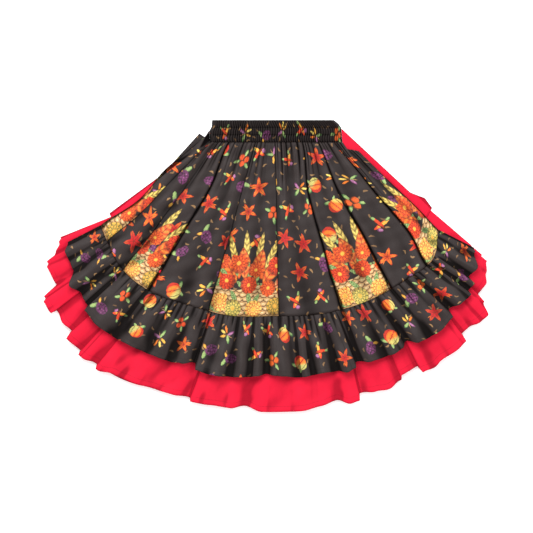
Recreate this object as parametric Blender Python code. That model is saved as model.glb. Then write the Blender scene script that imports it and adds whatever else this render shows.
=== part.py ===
"""Gored skirt with a shirred elastic waistband, laid out flat as a fan.

Four sheets of cloth lie on each other between the waistband and the hem. From the floor up they are the
back of the print skirt, the back and the front of the red underskirt, and the front of the print skirt.
The print skirt is sixteen narrow gores with a gathered ruffle. The red underskirt is a plain panel each
side with a longer ruffle. Metres, +Z up, the waist towards +Y, the hem towards -Y, the floor at Z 0.

Places on the fan are given from the middle of the waistband's top edge: by x and down, or by a bearing,
in degrees from +X round towards the hem, and a reach.
"""

import math

import bmesh
import bpy
import numpy as np

# Driving sizes.
CLOTH = 0.002
BAND_CLOTH = 0.003
SEAM_GAP = 0.0003
BAND_DEPTH = 0.050
BAND_INSIDE_GAP = 0.0036
BAND_END_ROUND = 0.007
BAND_RIBS = 36
BAND_RIB_RISE = 0.0014
BAND_CHANNELS = 3
BAND_CHANNEL_RISE = 0.0012
WAIST_X = 0.0122
WAIST_Y = 0.3275

# Each sheet lies this far above the tallest fold of the one below it: reach, gap.
LAYER_GAP = ((0.05, 0.0006), (0.11, 0.0006), (0.20, 0.0012), (0.70, 0.0012))

# The tallest fold in each hidden sheet: reach, rise.
PRINT_BACK_RISE = ((0.05, 0.0), (0.45, 0.0), (0.50, 0.002), (0.70, 0.002))
RED_BACK_RISE = ((0.05, 0.0), (0.11, 0.0), (0.28, 0.002), (0.42, 0.0), (0.50, 0.003), (0.66, 0.005))
RED_FRONT_RISE = (
    (0.05, 0.0),
    (0.11, 0.0),
    (0.28, 0.003),
    (0.42, 0.0),
    (0.50, 0.004),
    (0.60, 0.009),
    (0.66, 0.016),
)

# Where the hidden back of the print skirt ends, so that the sheets above come down around it.
PRINT_BACK_SEAM_REACH = 0.455
PRINT_BACK_HEM_REACH = 0.555
PRINT_BACK_DROP_REACH = 0.635
PRINT_BACK_HEM_BEARINGS = (37.5, 144.0)
PRINT_BACK_DROP = 0.024
RED_FOLD_WIDTH = 0.009

# The ends of the waistband, which the elastic draws in: down, x.
BAND_LEFT_END = ((0.0, -0.1345), (0.0150, -0.1352), (0.0252, -0.1412), (0.050, -0.1385))
BAND_RIGHT_END = ((0.0, 0.1395), (0.0083, 0.1496), (0.0167, 0.1553), (0.0333, 0.1566), (0.050, 0.1580))

# The gathered top edges of the print skirt, along the waistband and past its ends: x, down.
FRONT_TOP_EDGE = (
    (-0.1501, 0.0365),
    (-0.1468, 0.0352),
    (-0.1420, 0.0252),
    (-0.1390, 0.0503),
    (0.1593, 0.0503),
    (0.1625, 0.0642),
    (0.1946, 0.0700),
)
BACK_TOP_EDGE = (
    (-0.1631, 0.0297),
    (-0.1523, 0.0370),
    (-0.1416, 0.0503),
    (0.1590, 0.0503),
    (0.1650, 0.0560),
)

# The seams between the front gores, from left to right: x at the top, the bearing at the foot, how far
# the seam bows to the right near its top and near its foot, and the kind of gore on its right.
FRONT_SEAMS = (
    {"x": -0.1501, "bearing": 148.4, "bow_high": -0.003, "bow_low": 0.018, "gore": "border"},
    {"x": -0.1390, "bearing": 143.6, "bow_high": 0.004, "bow_low": 0.010, "gore": "plain"},
    {"x": -0.1240, "bearing": 134.8, "bow_high": 0.004, "bow_low": 0.004, "gore": "border"},
    {"x": -0.0968, "bearing": 126.0, "bow_high": 0.014, "bow_low": 0.006, "gore": "plain"},
    {"x": -0.0360, "bearing": 108.4, "bow_high": 0.000, "bow_low": 0.000, "gore": "border"},
    {"x": 0.0068, "bearing": 88.0, "bow_high": 0.000, "bow_low": 0.000, "gore": "plain"},
    {"x": 0.0686, "bearing": 69.8, "bow_high": -0.014, "bow_low": -0.008, "gore": "border"},
    {"x": 0.1046, "bearing": 54.9, "bow_high": -0.010, "bow_low": -0.002, "gore": "plain"},
    {"x": 0.1406, "bearing": 43.2, "bow_high": 0.006, "bow_low": 0.016, "gore": "border"},
    {"x": 0.1946, "bearing": 33.4, "bow_high": 0.000, "bow_low": 0.003, "gore": None},
)
SEAM_BOW_PLACES = (0.0, 0.33, 0.72, 1.0)

# The seams between the back gores, which the photograph hides but for the corner at the upper left.
BACK_SEAMS = (
    {"x": -0.1631, "bearing": 145.0, "bow_high": 0.0, "bow_low": 0.0, "gore": "plain"},
    {"x": -0.1200, "bearing": 129.0, "bow_high": 0.0, "bow_low": 0.0, "gore": "border"},
    {"x": -0.0720, "bearing": 113.5, "bow_high": 0.0, "bow_low": 0.0, "gore": "plain"},
    {"x": -0.0250, "bearing": 98.0, "bow_high": 0.0, "bow_low": 0.0, "gore": "border"},
    {"x": 0.0220, "bearing": 82.5, "bow_high": 0.0, "bow_low": 0.0, "gore": "plain"},
    {"x": 0.0690, "bearing": 67.0, "bow_high": 0.0, "bow_low": 0.0, "gore": "border"},
    {"x": 0.1160, "bearing": 51.5, "bow_high": 0.0, "bow_low": 0.0, "gore": "plain"},
    {"x": 0.1640, "bearing": 37.5, "bow_high": 0.0, "bow_low": 0.0, "gore": None},
)

# The folds of the front gores, from right to left: the bearing at the foot, and the rise at the top and
# at the foot as shares of GORE_RISE. High rows are crests and low rows are valleys.
GORE_RISE = 0.008
GORE_FOLDS = (
    {"bearing": 33.4, "top": 0.3, "foot": 0.2},
    {"bearing": 34.8, "top": 0.7, "foot": 0.6},
    {"bearing": 37.2, "top": 0.2, "foot": 0.3},
    {"bearing": 40.0, "top": 0.8, "foot": 0.7},
    {"bearing": 42.3, "top": 0.7, "foot": 0.6},
    {"bearing": 43.2, "top": 0.0, "foot": 0.0},
    {"bearing": 44.1, "top": 0.7, "foot": 0.5},
    {"bearing": 45.6, "top": 0.8, "foot": 0.6},
    {"bearing": 50.0, "top": 0.4, "foot": 0.8},
    {"bearing": 53.8, "top": 0.5, "foot": 0.6},
    {"bearing": 54.9, "top": 0.0, "foot": 0.0},
    {"bearing": 56.0, "top": 0.6, "foot": 0.4},
    {"bearing": 58.0, "top": 0.8, "foot": 0.5},
    {"bearing": 61.5, "top": 0.2, "foot": 0.3},
    {"bearing": 66.0, "top": 0.7, "foot": 0.6},
    {"bearing": 68.7, "top": 0.6, "foot": 0.5},
    {"bearing": 69.8, "top": 0.0, "foot": 0.0},
    {"bearing": 70.9, "top": 0.6, "foot": 0.4},
    {"bearing": 76.0, "top": 0.8, "foot": 0.5},
    {"bearing": 80.0, "top": 0.1, "foot": 0.2},
    {"bearing": 85.0, "top": 0.6, "foot": 0.5},
    {"bearing": 88.0, "top": 0.3, "foot": 0.2},
    {"bearing": 92.0, "top": 0.5, "foot": 0.5},
    {"bearing": 96.0, "top": 0.2, "foot": 0.2},
    {"bearing": 100.5, "top": 0.6, "foot": 0.6},
    {"bearing": 105.0, "top": 0.2, "foot": 0.4},
    {"bearing": 108.4, "top": 0.0, "foot": 0.0},
    {"bearing": 113.0, "top": 0.8, "foot": 0.7},
    {"bearing": 117.0, "top": 0.2, "foot": 0.4},
    {"bearing": 121.5, "top": 1.0, "foot": 0.6},
    {"bearing": 124.8, "top": 0.8, "foot": 0.5},
    {"bearing": 126.0, "top": 0.0, "foot": 0.0},
    {"bearing": 127.1, "top": 0.5, "foot": 0.5},
    {"bearing": 130.5, "top": 0.6, "foot": 0.7},
    {"bearing": 134.8, "top": 0.1, "foot": 0.0},
    {"bearing": 139.5, "top": 0.7, "foot": 1.0},
    {"bearing": 143.6, "top": 0.2, "foot": 0.3},
    {"bearing": 146.2, "top": 0.6, "foot": 0.6},
    {"bearing": 148.4, "top": 0.2, "foot": 0.2},
)
GORE_TOP_SHARE = 0.45
GORE_GATHER_FADE = 0.42
GATHER_RISE = 0.0035
GATHER_SHARES = ((0.0, 0.3), (0.12, 1.0), (0.30, 0.6), (0.52, 0.0))

# Where the print ruffle is sewn to the gores: bearing, reach.
PRINT_SEAM_REACH = (
    (30.0, 0.436),
    (34.0, 0.449),
    (40.0, 0.475),
    (50.0, 0.467),
    (63.0, 0.458),
    (78.0, 0.447),
    (88.0, 0.440),
    (103.0, 0.449),
    (114.0, 0.455),
    (126.0, 0.472),
    (136.0, 0.473),
    (144.0, 0.458),
    (149.0, 0.450),
)
PRINT_HEAD_BEARINGS = (33.4, 148.4)
RED_SEAM_REACH = ((28.0, 0.410), (90.0, 0.416), (151.0, 0.421))
RED_PANEL_BEARINGS = (28.7, 150.2)
RED_HEAD_BEARINGS = (29.6, 149.0)
RED_TOP_EDGE = (
    (-0.1420, 0.0450),
    (-0.1390, 0.0503),
    (0.1586, 0.0503),
    (0.1562, 0.0200),
    (0.1568, 0.0195),
)
RED_BACK_TOP_EDGE = ((-0.1330, 0.0503), (0.1560, 0.0503))

# How far the right edge of the red panel stands out from a straight line: the share of the way down, out.
RED_RIGHT_BOW = ((0.0, 0.0), (0.35, -0.003), (0.60, -0.005), (0.78, -0.0065), (0.90, 0.006), (1.0, 0.0))
RED_RIGHT_OUTWARD = (0.66, -0.75)
STRAIGHT_SIDE = ((0.0, 0.0), (1.0, 0.0))

# The hem of each front ruffle, from right to left, a row for each crest, valley and step that shows:
# the bearing, the reach, and the rise as a share of the ruffle's tallest fold.
PRINT_HEM_RISE = 0.018
PRINT_HEM = (
    (32.3, 0.536, 0.15),
    (33.2, 0.542, 0.50),
    (36.0, 0.567, 0.85),
    (38.4, 0.563, 0.05),
    (39.2, 0.583, 0.65),
    (40.7, 0.582, 0.10),
    (41.5, 0.593, 0.60),
    (44.2, 0.590, 0.90),
    (46.7, 0.580, 0.00),
    (47.8, 0.599, 0.70),
    (51.3, 0.604, 1.00),
    (54.0, 0.601, 0.65),
    (56.5, 0.597, 0.85),
    (58.9, 0.579, 0.00),
    (60.2, 0.589, 0.50),
    (62.3, 0.591, 0.80),
    (64.3, 0.588, 0.35),
    (67.6, 0.585, 0.80),
    (70.6, 0.574, 0.10),
    (71.6, 0.586, 0.75),
    (73.2, 0.590, 0.90),
    (75.5, 0.581, 0.05),
    (78.7, 0.578, 0.70),
    (80.7, 0.579, 0.25),
    (82.3, 0.580, 0.70),
    (83.9, 0.580, 0.30),
    (87.2, 0.575, 0.85),
    (89.4, 0.573, 0.60),
    (91.2, 0.569, 0.00),
    (93.3, 0.575, 0.70),
    (95.1, 0.578, 0.25),
    (97.3, 0.581, 0.75),
    (99.3, 0.583, 0.30),
    (102.0, 0.586, 0.90),
    (104.5, 0.587, 0.60),
    (106.7, 0.585, 0.80),
    (107.8, 0.571, 0.05),
    (110.5, 0.582, 0.50),
    (113.0, 0.588, 0.15),
    (116.0, 0.590, 0.85),
    (118.7, 0.593, 0.45),
    (122.5, 0.597, 0.95),
    (126.1, 0.602, 0.05),
    (130.5, 0.604, 0.90),
    (134.2, 0.598, 0.60),
    (135.1, 0.585, 0.15),
    (136.3, 0.582, 0.40),
    (137.8, 0.577, 0.00),
    (140.5, 0.586, 1.00),
    (143.0, 0.557, 0.25),
    (145.0, 0.553, 0.15),
    (147.2, 0.550, 0.75),
    (149.1, 0.533, 0.20),
)
RED_HEM = (
    (31.8, 0.528, 0.10),
    (32.9, 0.560, 0.45),
    (33.4, 0.577, 0.60),
    (35.5, 0.590, 0.80),
    (37.5, 0.605, 0.50),
    (39.9, 0.605, 0.05),
    (40.8, 0.627, 0.45),
    (42.1, 0.653, 0.75),
    (44.0, 0.651, 0.50),
    (46.6, 0.641, 0.20),
    (48.0, 0.641, 0.05),
    (49.0, 0.660, 0.55),
    (51.0, 0.662, 0.80),
    (54.7, 0.659, 0.50),
    (56.6, 0.664, 0.40),
    (58.9, 0.659, 0.70),
    (59.7, 0.641, 0.05),
    (62.7, 0.642, 0.45),
    (63.9, 0.651, 0.15),
    (66.4, 0.658, 0.65),
    (69.0, 0.652, 0.40),
    (71.9, 0.644, 0.05),
    (72.9, 0.659, 0.60),
    (74.4, 0.660, 0.75),
    (77.0, 0.645, 0.15),
    (80.4, 0.651, 0.55),
    (84.0, 0.656, 0.75),
    (88.0, 0.655, 0.50),
    (92.0, 0.655, 0.60),
    (95.4, 0.644, 0.05),
    (98.3, 0.653, 0.55),
    (101.0, 0.653, 0.60),
    (103.9, 0.656, 0.40),
    (105.9, 0.657, 0.60),
    (106.8, 0.649, 0.05),
    (110.0, 0.655, 0.45),
    (113.5, 0.658, 0.25),
    (118.5, 0.667, 0.75),
    (122.0, 0.672, 0.45),
    (125.0, 0.684, 0.60),
    (126.0, 0.674, 0.05),
    (128.4, 0.682, 0.60),
    (129.3, 0.682, 0.50),
    (130.0, 0.672, 0.05),
    (133.0, 0.673, 0.60),
    (133.9, 0.652, 0.05),
    (135.7, 0.654, 0.35),
    (138.2, 0.645, 0.00),
    (139.1, 0.658, 0.60),
    (141.2, 0.654, 1.00),
    (142.0, 0.646, 0.60),
    (142.9, 0.608, 0.00),
    (146.5, 0.603, 0.55),
    (147.6, 0.596, 0.65),
    (148.5, 0.569, 0.10),
    (149.9, 0.551, 0.25),
    (151.1, 0.543, 0.10),
)

# The hems of the hidden back ruffles: bearing, reach.
RED_BACK_HEM = (
    (32.8, 0.532),
    (35.0, 0.575),
    (38.0, 0.594),
    (40.3, 0.601),
    (42.5, 0.630),
    (47.5, 0.637),
    (54.0, 0.643),
    (60.5, 0.638),
    (66.0, 0.643),
    (71.5, 0.642),
    (77.5, 0.643),
    (84.0, 0.648),
    (90.0, 0.649),
    (96.0, 0.643),
    (102.0, 0.648),
    (107.5, 0.648),
    (112.0, 0.657),
    (115.0, 0.661),
    (117.0, 0.6665),
    (120.0, 0.672),
    (122.5, 0.674),
    (128.0, 0.668),
    (133.0, 0.656),
    (134.5, 0.648),
    (138.0, 0.641),
    (141.0, 0.628),
    (143.0, 0.604),
    (147.0, 0.590),
    (149.9, 0.548),
)
RED_BACK_WAVES = 16
PRINT_BACK_WAVES = 10

# Rows of each grid as shares of the way down it, and the widest step between columns, in degrees.
GORE_ROWS = (0.0, 0.07, 0.18, 0.33, 0.52, 0.76, 1.0)
GORE_STEP = 1.5
PRINT_RUFFLE_ROWS = (0.0, 0.12, 0.30, 0.52, 0.76, 1.0)
PRINT_RUFFLE_STEP = 1.3
RED_RUFFLE_ROWS = (0.0, 0.35, 0.62, 0.82, 1.0)
RED_RUFFLE_STEP = 1.4
RED_PANEL_ROWS = (0.0, 0.12, 0.35, 0.60, 0.78, 0.90, 1.0)
RED_PANEL_COLUMNS = 28
BACK_GORE_ROWS = (0.0, 0.25, 0.6, 1.0)
BACK_GORE_COLUMNS = 4
PRINT_BACK_RUFFLE_ROWS = (0.0, 0.5, 1.0)
RED_BACK_RUFFLE_ROWS = (0.0, 0.3, 0.55, 0.78, 1.0)

# Each front ruffle is cut as strips that meet at these bearings.
PRINT_STRIPS = (32.3, 70.6, 107.8, 149.1)
RED_STRIPS = (31.8, 71.9, 106.8, 151.1)

PRINT_BLACK = (0.022, 0.019, 0.020, 1.0)
BORDER_BLACK = (0.036, 0.022, 0.018, 1.0)
UNDERSKIRT_RED = (0.82, 0.014, 0.032, 1.0)


def straight(table, value):
    """The second column of a table at a value of its first, on straight lines between the rows."""
    rows = np.array(table)
    return float(np.interp(value, rows[:, 0], rows[:, 1]))


def curved(table, value, column=1):
    """A column of a table on a smooth curve through its rows."""
    rows = np.array(table, float)
    keys, values = rows[:, 0], rows[:, column]
    slopes = np.gradient(values, keys)
    i = int(np.clip(np.searchsorted(keys, value) - 1, 0, len(keys) - 2))
    span = keys[i + 1] - keys[i]
    s = min(max((value - keys[i]) / span, 0.0), 1.0)
    start = (1 + 2 * s) * (1 - s) ** 2 * values[i] + s * (1 - s) ** 2 * span * slopes[i]
    end = s * s * (3 - 2 * s) * values[i + 1] + s * s * (s - 1) * span * slopes[i + 1]
    return float(start + end)


def eased(keys, values, value):
    """Values that ease from row to row, so that each row is a crest, a valley or a level stretch."""
    i = int(np.clip(np.searchsorted(keys, value) - 1, 0, len(keys) - 2))
    s = min(max((value - keys[i]) / (keys[i + 1] - keys[i]), 0.0), 1.0)
    return values[i] + (values[i + 1] - values[i]) * (0.5 - 0.5 * math.cos(math.pi * s))


def ramp(value, start, end):
    """0 before start, 1 after end, and smooth between them."""
    s = min(max((value - start) / (end - start), 0.0), 1.0)
    return s * s * (3 - 2 * s)


def polar(bearing, reach):
    angle = math.radians(bearing)
    return np.array([reach * math.cos(angle), reach * math.sin(angle)])


def red_side(side):
    """The corners of a side edge of the red underskirt: its top, its ruffle's seam and its hem."""
    end = 0 if side == "right" else -1
    head = RED_PANEL_BEARINGS[end]
    foot = polar(head, straight(RED_SEAM_REACH, head))
    return np.array(RED_TOP_EDGE[-1 - end]), foot, polar(*RED_HEM[end][:2])


def print_back_side(side):
    """The corners of a side edge of the back of the print skirt."""
    end = -1 if side == "right" else 0
    foot = polar(BACK_SEAMS[end]["bearing"], PRINT_BACK_SEAM_REACH)
    hem = polar(PRINT_BACK_HEM_BEARINGS[-end - 1], PRINT_BACK_HEM_REACH)
    return np.array(BACK_TOP_EDGE[end]), foot, hem


def inset_from_sides(spot, side_corners):
    """How far inside the nearer side edge of a sheet a place is. It is negative outside."""
    nearest = []
    for side, sign in (("right", 1.0), ("left", -1.0)):
        top, seam, hem = side_corners(side)
        legs = ((top, seam), (seam, hem))
        along = [(b - a) / np.linalg.norm(b - a) for a, b in legs]
        offs = [spot - a for a, _ in legs]
        nearest.append(max(sign * (d[0] * o[1] - d[1] * o[0]) for d, o in zip(along, offs)))
    return min(nearest)


def beds(spot):
    """The height on which each sheet lies at a place, from the lowest sheet to the highest."""
    reach = float(np.hypot(*spot))
    gap = straight(LAYER_GAP, reach)
    over_print_back = 1.0 - ramp(reach, PRINT_BACK_HEM_REACH, PRINT_BACK_DROP_REACH)
    over_print_back *= 1.0 - ramp(-inset_from_sides(spot, print_back_side), 0.001, PRINT_BACK_DROP)
    over_red_back = ramp(inset_from_sides(spot, red_side), 0.0, RED_FOLD_WIDTH)
    print_back = (CLOTH + gap + straight(PRINT_BACK_RISE, reach)) * over_print_back
    red_back = (CLOTH + gap + straight(RED_BACK_RISE, reach)) * over_red_back
    red_front = CLOTH + gap + straight(RED_FRONT_RISE, reach)
    return np.cumsum([0.0, print_back, red_back, red_front])


def columns_between(bearings, step):
    """The given bearings, with even ones between them no more than a step apart."""
    found = [bearings[0]]
    for a, b in zip(bearings, bearings[1:]):
        count = max(1, round((b - a) / step))
        found += [a + (b - a) * k / count for k in range(1, count + 1)]
    return found


def material(name, colour, roughness):
    made = bpy.data.materials.get(name)
    if made is None:
        made = bpy.data.materials.new(name)
        made.use_nodes = True
        shader = made.node_tree.nodes["Principled BSDF"]
        shader.inputs["Base Color"].default_value = colour
        shader.inputs["Roughness"].default_value = roughness
        shader.inputs["Metallic"].default_value = 0.0
    return made


def cloth_wall(name, grid, thickness, finish, parts):
    """A wall of cloth under a grid of points: rows of (x, down, height of the upper face)."""
    cloth = bmesh.new()
    points = [
        [cloth.verts.new((WAIST_X + x, WAIST_Y - down, height)) for x, down, height in row] for row in grid
    ]
    for upper, lower in zip(points, points[1:]):
        for k in range(len(upper) - 1):
            cloth.faces.new((upper[k], upper[k + 1], lower[k + 1], lower[k]))
    under = bmesh.ops.extrude_face_region(cloth, geom=list(cloth.faces), use_keep_orig=True)
    moved = [v for v in under["geom"] if isinstance(v, bmesh.types.BMVert)]
    bmesh.ops.translate(cloth, verts=moved, vec=(0.0, 0.0, -thickness))
    bmesh.ops.recalc_face_normals(cloth, faces=list(cloth.faces))
    mesh = bpy.data.meshes.new(name)
    cloth.to_mesh(mesh)
    cloth.free()
    mesh.shade_smooth()
    mesh.set_sharp_from_angle(angle=math.radians(60))
    mesh.materials.append(finish)
    parts.objects.link(bpy.data.objects.new(name, mesh))


def seam_spot(seam, down_share, seam_reach, top_edge):
    """A place on the seam between two gores, from the waist at 0 to the ruffle at 1."""
    top = np.array([seam["x"], straight(top_edge, seam["x"])])
    foot = polar(seam["bearing"], seam_reach(seam["bearing"]) - SEAM_GAP / 2)
    bow = eased(SEAM_BOW_PLACES, (0.0, seam["bow_high"], seam["bow_low"], 0.0), down_share)
    return top + (foot - top) * down_share + np.array([bow, 0.0])


def gore_row(left, right, shares, down_share, seam_reach, top_edge):
    """Places across a gore at one height, kept half a seam's gap inside the seams on both sides."""
    a, b = (seam_spot(s, down_share, seam_reach, top_edge) for s in (left, right))
    across = b - a
    width = np.linalg.norm(across)
    keep = []
    above, below = max(down_share - 0.1, 0.0), min(down_share + 0.1, 1.0)
    for seam in (left, right):
        run = seam_spot(seam, below, seam_reach, top_edge) - seam_spot(seam, above, seam_reach, top_edge)
        slant = abs(across[0] * run[1] - across[1] * run[0]) / (width * np.linalg.norm(run))
        keep.append(SEAM_GAP / 2 / (slant * width))
    row = [a + across * (keep[0] + (1 - keep[0] - keep[1]) * s) for s in shares]
    if down_share == 0:
        return [np.array([spot[0], straight(top_edge, spot[0])]) for spot in row]
    if down_share < 1:
        return row
    bearings = [left["bearing"] + (right["bearing"] - left["bearing"]) * s for s in shares]
    arc = [polar(d, seam_reach(d) - SEAM_GAP / 2) for d in bearings]
    return [row[0], *arc[1:-1], row[-1]]


def print_seam_reach(bearing):
    return curved(PRINT_SEAM_REACH, bearing)


def print_back_seam_reach(bearing):
    return PRINT_BACK_SEAM_REACH


def red_seam_reach(bearing):
    return straight(RED_SEAM_REACH, bearing)


def gore_fold_rise(bearing, down_share):
    """How far the folds of the front gores stand up."""
    keys = [fold["bearing"] for fold in GORE_FOLDS]
    top = eased(keys, [fold["top"] for fold in GORE_FOLDS], bearing)
    foot = eased(keys, [fold["foot"] for fold in GORE_FOLDS], bearing)
    return GORE_RISE * ((1 - down_share) * GORE_TOP_SHARE * top + down_share * foot)


def gather_height(column):
    """The height of the gather at a column as a share of GATHER_RISE: uneven, and none at even columns."""
    return (column % 2) * (0.65 + 0.35 * math.sin(2.4 * column))


def front_gores(finishes, parts):
    keys = [fold["bearing"] for fold in GORE_FOLDS]
    column = 0
    for number, (left, right) in enumerate(zip(FRONT_SEAMS, FRONT_SEAMS[1:]), 1):
        inside = [k for k in reversed(keys) if right["bearing"] < k < left["bearing"]]
        knots = [-k for k in (left["bearing"], *inside, right["bearing"])]
        bearings = [-k for k in columns_between(knots, GORE_STEP)]
        span = left["bearing"] - right["bearing"]
        shares = [(left["bearing"] - d) / span for d in bearings]
        grid = []
        for t in GORE_ROWS:
            row = []
            spots = gore_row(left, right, shares, t, print_seam_reach, FRONT_TOP_EDGE)
            for k, (spot, bearing) in enumerate(zip(spots, bearings)):
                gather = gather_height(column + k) * max(0.0, 1 - t / GORE_GATHER_FADE)
                rise = gore_fold_rise(bearing, t) + GATHER_RISE * gather
                row.append((*spot, beds(spot)[3] + CLOTH + rise))
            grid.append(row)
        column += len(bearings) - 1
        cloth_wall(f"front_gore_{number}_{left['gore']}", grid, CLOTH, finishes[left["gore"]], parts)


def back_gores(finishes, parts):
    shares = [k / BACK_GORE_COLUMNS for k in range(BACK_GORE_COLUMNS + 1)]
    for number, (left, right) in enumerate(zip(BACK_SEAMS, BACK_SEAMS[1:]), 1):
        grid = []
        for t in BACK_GORE_ROWS:
            spots = gore_row(left, right, shares, t, print_back_seam_reach, BACK_TOP_EDGE)
            grid.append([(*spot, CLOTH) for spot in spots])
        cloth_wall(f"back_gore_{number}_{left['gore']}", grid, CLOTH, finishes[left["gore"]], parts)


def ruffle_spot(bearing, down_share, ends, heads, seam_reach, hem_reach):
    """A place on a ruffle, from its seam at 0 to its hem at 1, and the bearing of its column's head.
    Ends and heads are the bearings of the side edges at the hem and at the seam."""
    across = (bearing - ends[0]) / (ends[1] - ends[0])
    head = heads[0] + (heads[1] - heads[0]) * across
    start = polar(head, seam_reach(head) + SEAM_GAP / 2)
    return start + (polar(bearing, hem_reach) - start) * down_share, head


def drawn_in_ends(bearings, cut_first, cut_last):
    """The bearings of a strip's columns, drawn in by half a seam's gap where it meets another strip."""
    half_gap = math.degrees(SEAM_GAP / 2 / PRINT_BACK_SEAM_REACH)
    return [bearings[0] + half_gap * cut_first, *bearings[1:-1], bearings[-1] - half_gap * cut_last]


def front_ruffle(name, hem, heads, seam_reach, strips, step, shares_down, rise_at, level, finish, parts):
    """A front ruffle as its strips. rise_at gives the folds' height from a column's number, the place
    down the ruffle, the fold's share, the bearing at the seam and the reach."""
    keys = [row[0] for row in hem]
    folds = [row[2] for row in hem]
    reaches = [row[1] for row in hem]
    ends = (keys[0], keys[-1])
    column = 0
    for number, (first, last) in enumerate(zip(strips, strips[1:]), 1):
        knots = [k for k in keys if first <= k <= last]
        bearings = columns_between(knots, step)
        drawn_in = drawn_in_ends(bearings, first != ends[0], last != ends[1])
        grid = []
        for t in shares_down:
            row = []
            for k, bearing in enumerate(drawn_in):
                spot, head = ruffle_spot(bearing, t, ends, heads, seam_reach, eased(keys, reaches, bearing))
                fold = eased(keys, folds, bearing)
                rise = rise_at(column + k, t, fold, head, float(np.hypot(*spot)))
                row.append((*spot, beds(spot)[level] + CLOTH + rise))
            grid.append(row[::-1])
        column += len(bearings) - 1
        cloth_wall(f"{name}_{number}", grid, CLOTH, finish, parts)


def print_ruffle_rise(column, t, fold, head, reach):
    """At the seam the folds of the gores, with small gathers that open into the folds of the hem."""
    gather = gather_height(column) * straight(GATHER_SHARES, t)
    hem_fold = PRINT_HEM_RISE * fold * t**0.8
    return gore_fold_rise(head, 1.0) * (1 - t) ** 2 + GATHER_RISE * gather + hem_fold


def red_ruffle_rise(column, t, fold, head, reach):
    return straight(RED_FRONT_RISE, reach) * fold


def back_ruffle(name, hem, heads, seam_reach, waves, rise_table, shares_down, level, finish, parts):
    """A hidden ruffle, with even waves."""
    ends = (hem[0][0], hem[-1][0])
    count = 4 * waves
    grid = []
    for t in shares_down:
        row = []
        for k in range(count + 1):
            bearing = ends[0] + (ends[1] - ends[0]) * k / count
            spot, _ = ruffle_spot(bearing, t, ends, heads, seam_reach, curved(hem, bearing))
            wave = 0.5 - 0.5 * math.cos(math.tau * k / 4)
            rise = straight(rise_table, float(np.hypot(*spot))) * wave
            row.append((*spot, beds(spot)[level] + CLOTH + rise))
        grid.append(row[::-1])
    cloth_wall(name, grid, CLOTH, finish, parts)


def red_panel(name, top_edge, inset, right_bow, level, rise_table, finish, parts):
    """A red panel from the waistband to its ruffle's seam, narrower by an inset at each side. A panel
    with no inset lies on the other one, with a column of points where it comes down at each side."""
    corners = np.array(top_edge)
    runs = [float(np.linalg.norm(b - a)) for a, b in zip(corners, corners[1:])]
    marks = np.cumsum([0.0, *runs]) / sum(runs)
    turn = math.degrees(inset / red_seam_reach(90.0))
    first, last = RED_PANEL_BEARINGS[1] - turn, RED_PANEL_BEARINGS[0] + turn
    even = np.linspace(0.0, 1.0, RED_PANEL_COLUMNS + 1)
    spare = [s for s in even if min(abs(marks - s)) > 0.3 / RED_PANEL_COLUMNS]
    shares = sorted([*marks, *spare])
    grid = []
    for t in RED_PANEL_ROWS:
        spots = []
        for s in shares:
            top = np.array([np.interp(s, marks, corners[:, axis]) for axis in (0, 1)])
            bearing = first + (last - first) * s
            foot = polar(bearing, red_seam_reach(bearing) - SEAM_GAP / 2)
            bow = straight(right_bow, t) * s**4
            spots.append(top + (foot - top) * t + np.array(RED_RIGHT_OUTWARD) * bow)
        if t > 0 and inset == 0:
            for edge, inner, beyond in ((0, 1, 2), (-1, -2, -3)):
                inwards = spots[beyond] - spots[edge]
                spots[inner] = spots[edge] + inwards * 1.1 * RED_FOLD_WIDTH / np.linalg.norm(inwards)
        row = []
        for k, spot in enumerate(spots):
            wave = k % 4 in (1, 2)
            rise = straight(rise_table, float(np.hypot(*spot))) * wave
            row.append((*spot, beds(spot)[level] + CLOTH + rise))
        grid.append(row)
    cloth_wall(name, grid, CLOTH, finish, parts)


def waistband_front(finish, parts):
    """The front of the elastic band: upright ribs over stitched channels, folded down at both ends."""
    level = BAND_CLOTH * 2 + BAND_INSIDE_GAP
    rows_down = BAND_CHANNELS * 2
    columns = BAND_RIBS * 2
    fold_shares = (0.0, 0.35, 0.75)
    grid = []
    for j in range(rows_down + 1):
        down = BAND_DEPTH * j / rows_down
        left, right = straight(BAND_LEFT_END, down), straight(BAND_RIGHT_END, down)
        heights = [BAND_CLOTH + (level - BAND_CLOTH) * s for s in fold_shares]
        row = [(left + BAND_END_ROUND * s, down, z) for s, z in zip(fold_shares, heights)]
        start, end = left + BAND_END_ROUND, right - BAND_END_ROUND
        for k in range(columns + 1):
            puff = BAND_CHANNEL_RISE * (j % 2)
            rib = BAND_RIB_RISE * (k % 2) * (0.4 + 0.6 * (j % 2))
            row.append((start + (end - start) * k / columns, down, level + puff + rib))
        row += [(right - BAND_END_ROUND * s, down, z) for s, z in zip(fold_shares[::-1], heights[::-1])]
        grid.append(row)
    cloth_wall("waistband_front", grid, BAND_CLOTH, finish, parts)


def waistband_back(finish, parts):
    grid = []
    for j in range(BAND_CHANNELS * 2 + 1):
        down = BAND_DEPTH * j / BAND_CHANNELS / 2
        left = straight(BAND_LEFT_END, down) + BAND_END_ROUND + SEAM_GAP
        right = straight(BAND_RIGHT_END, down) - BAND_END_ROUND - SEAM_GAP
        grid.append([(left + (right - left) * k / 8, down, BAND_CLOTH) for k in range(9)])
    cloth_wall("waistband_back", grid, BAND_CLOTH, finish, parts)


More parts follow.
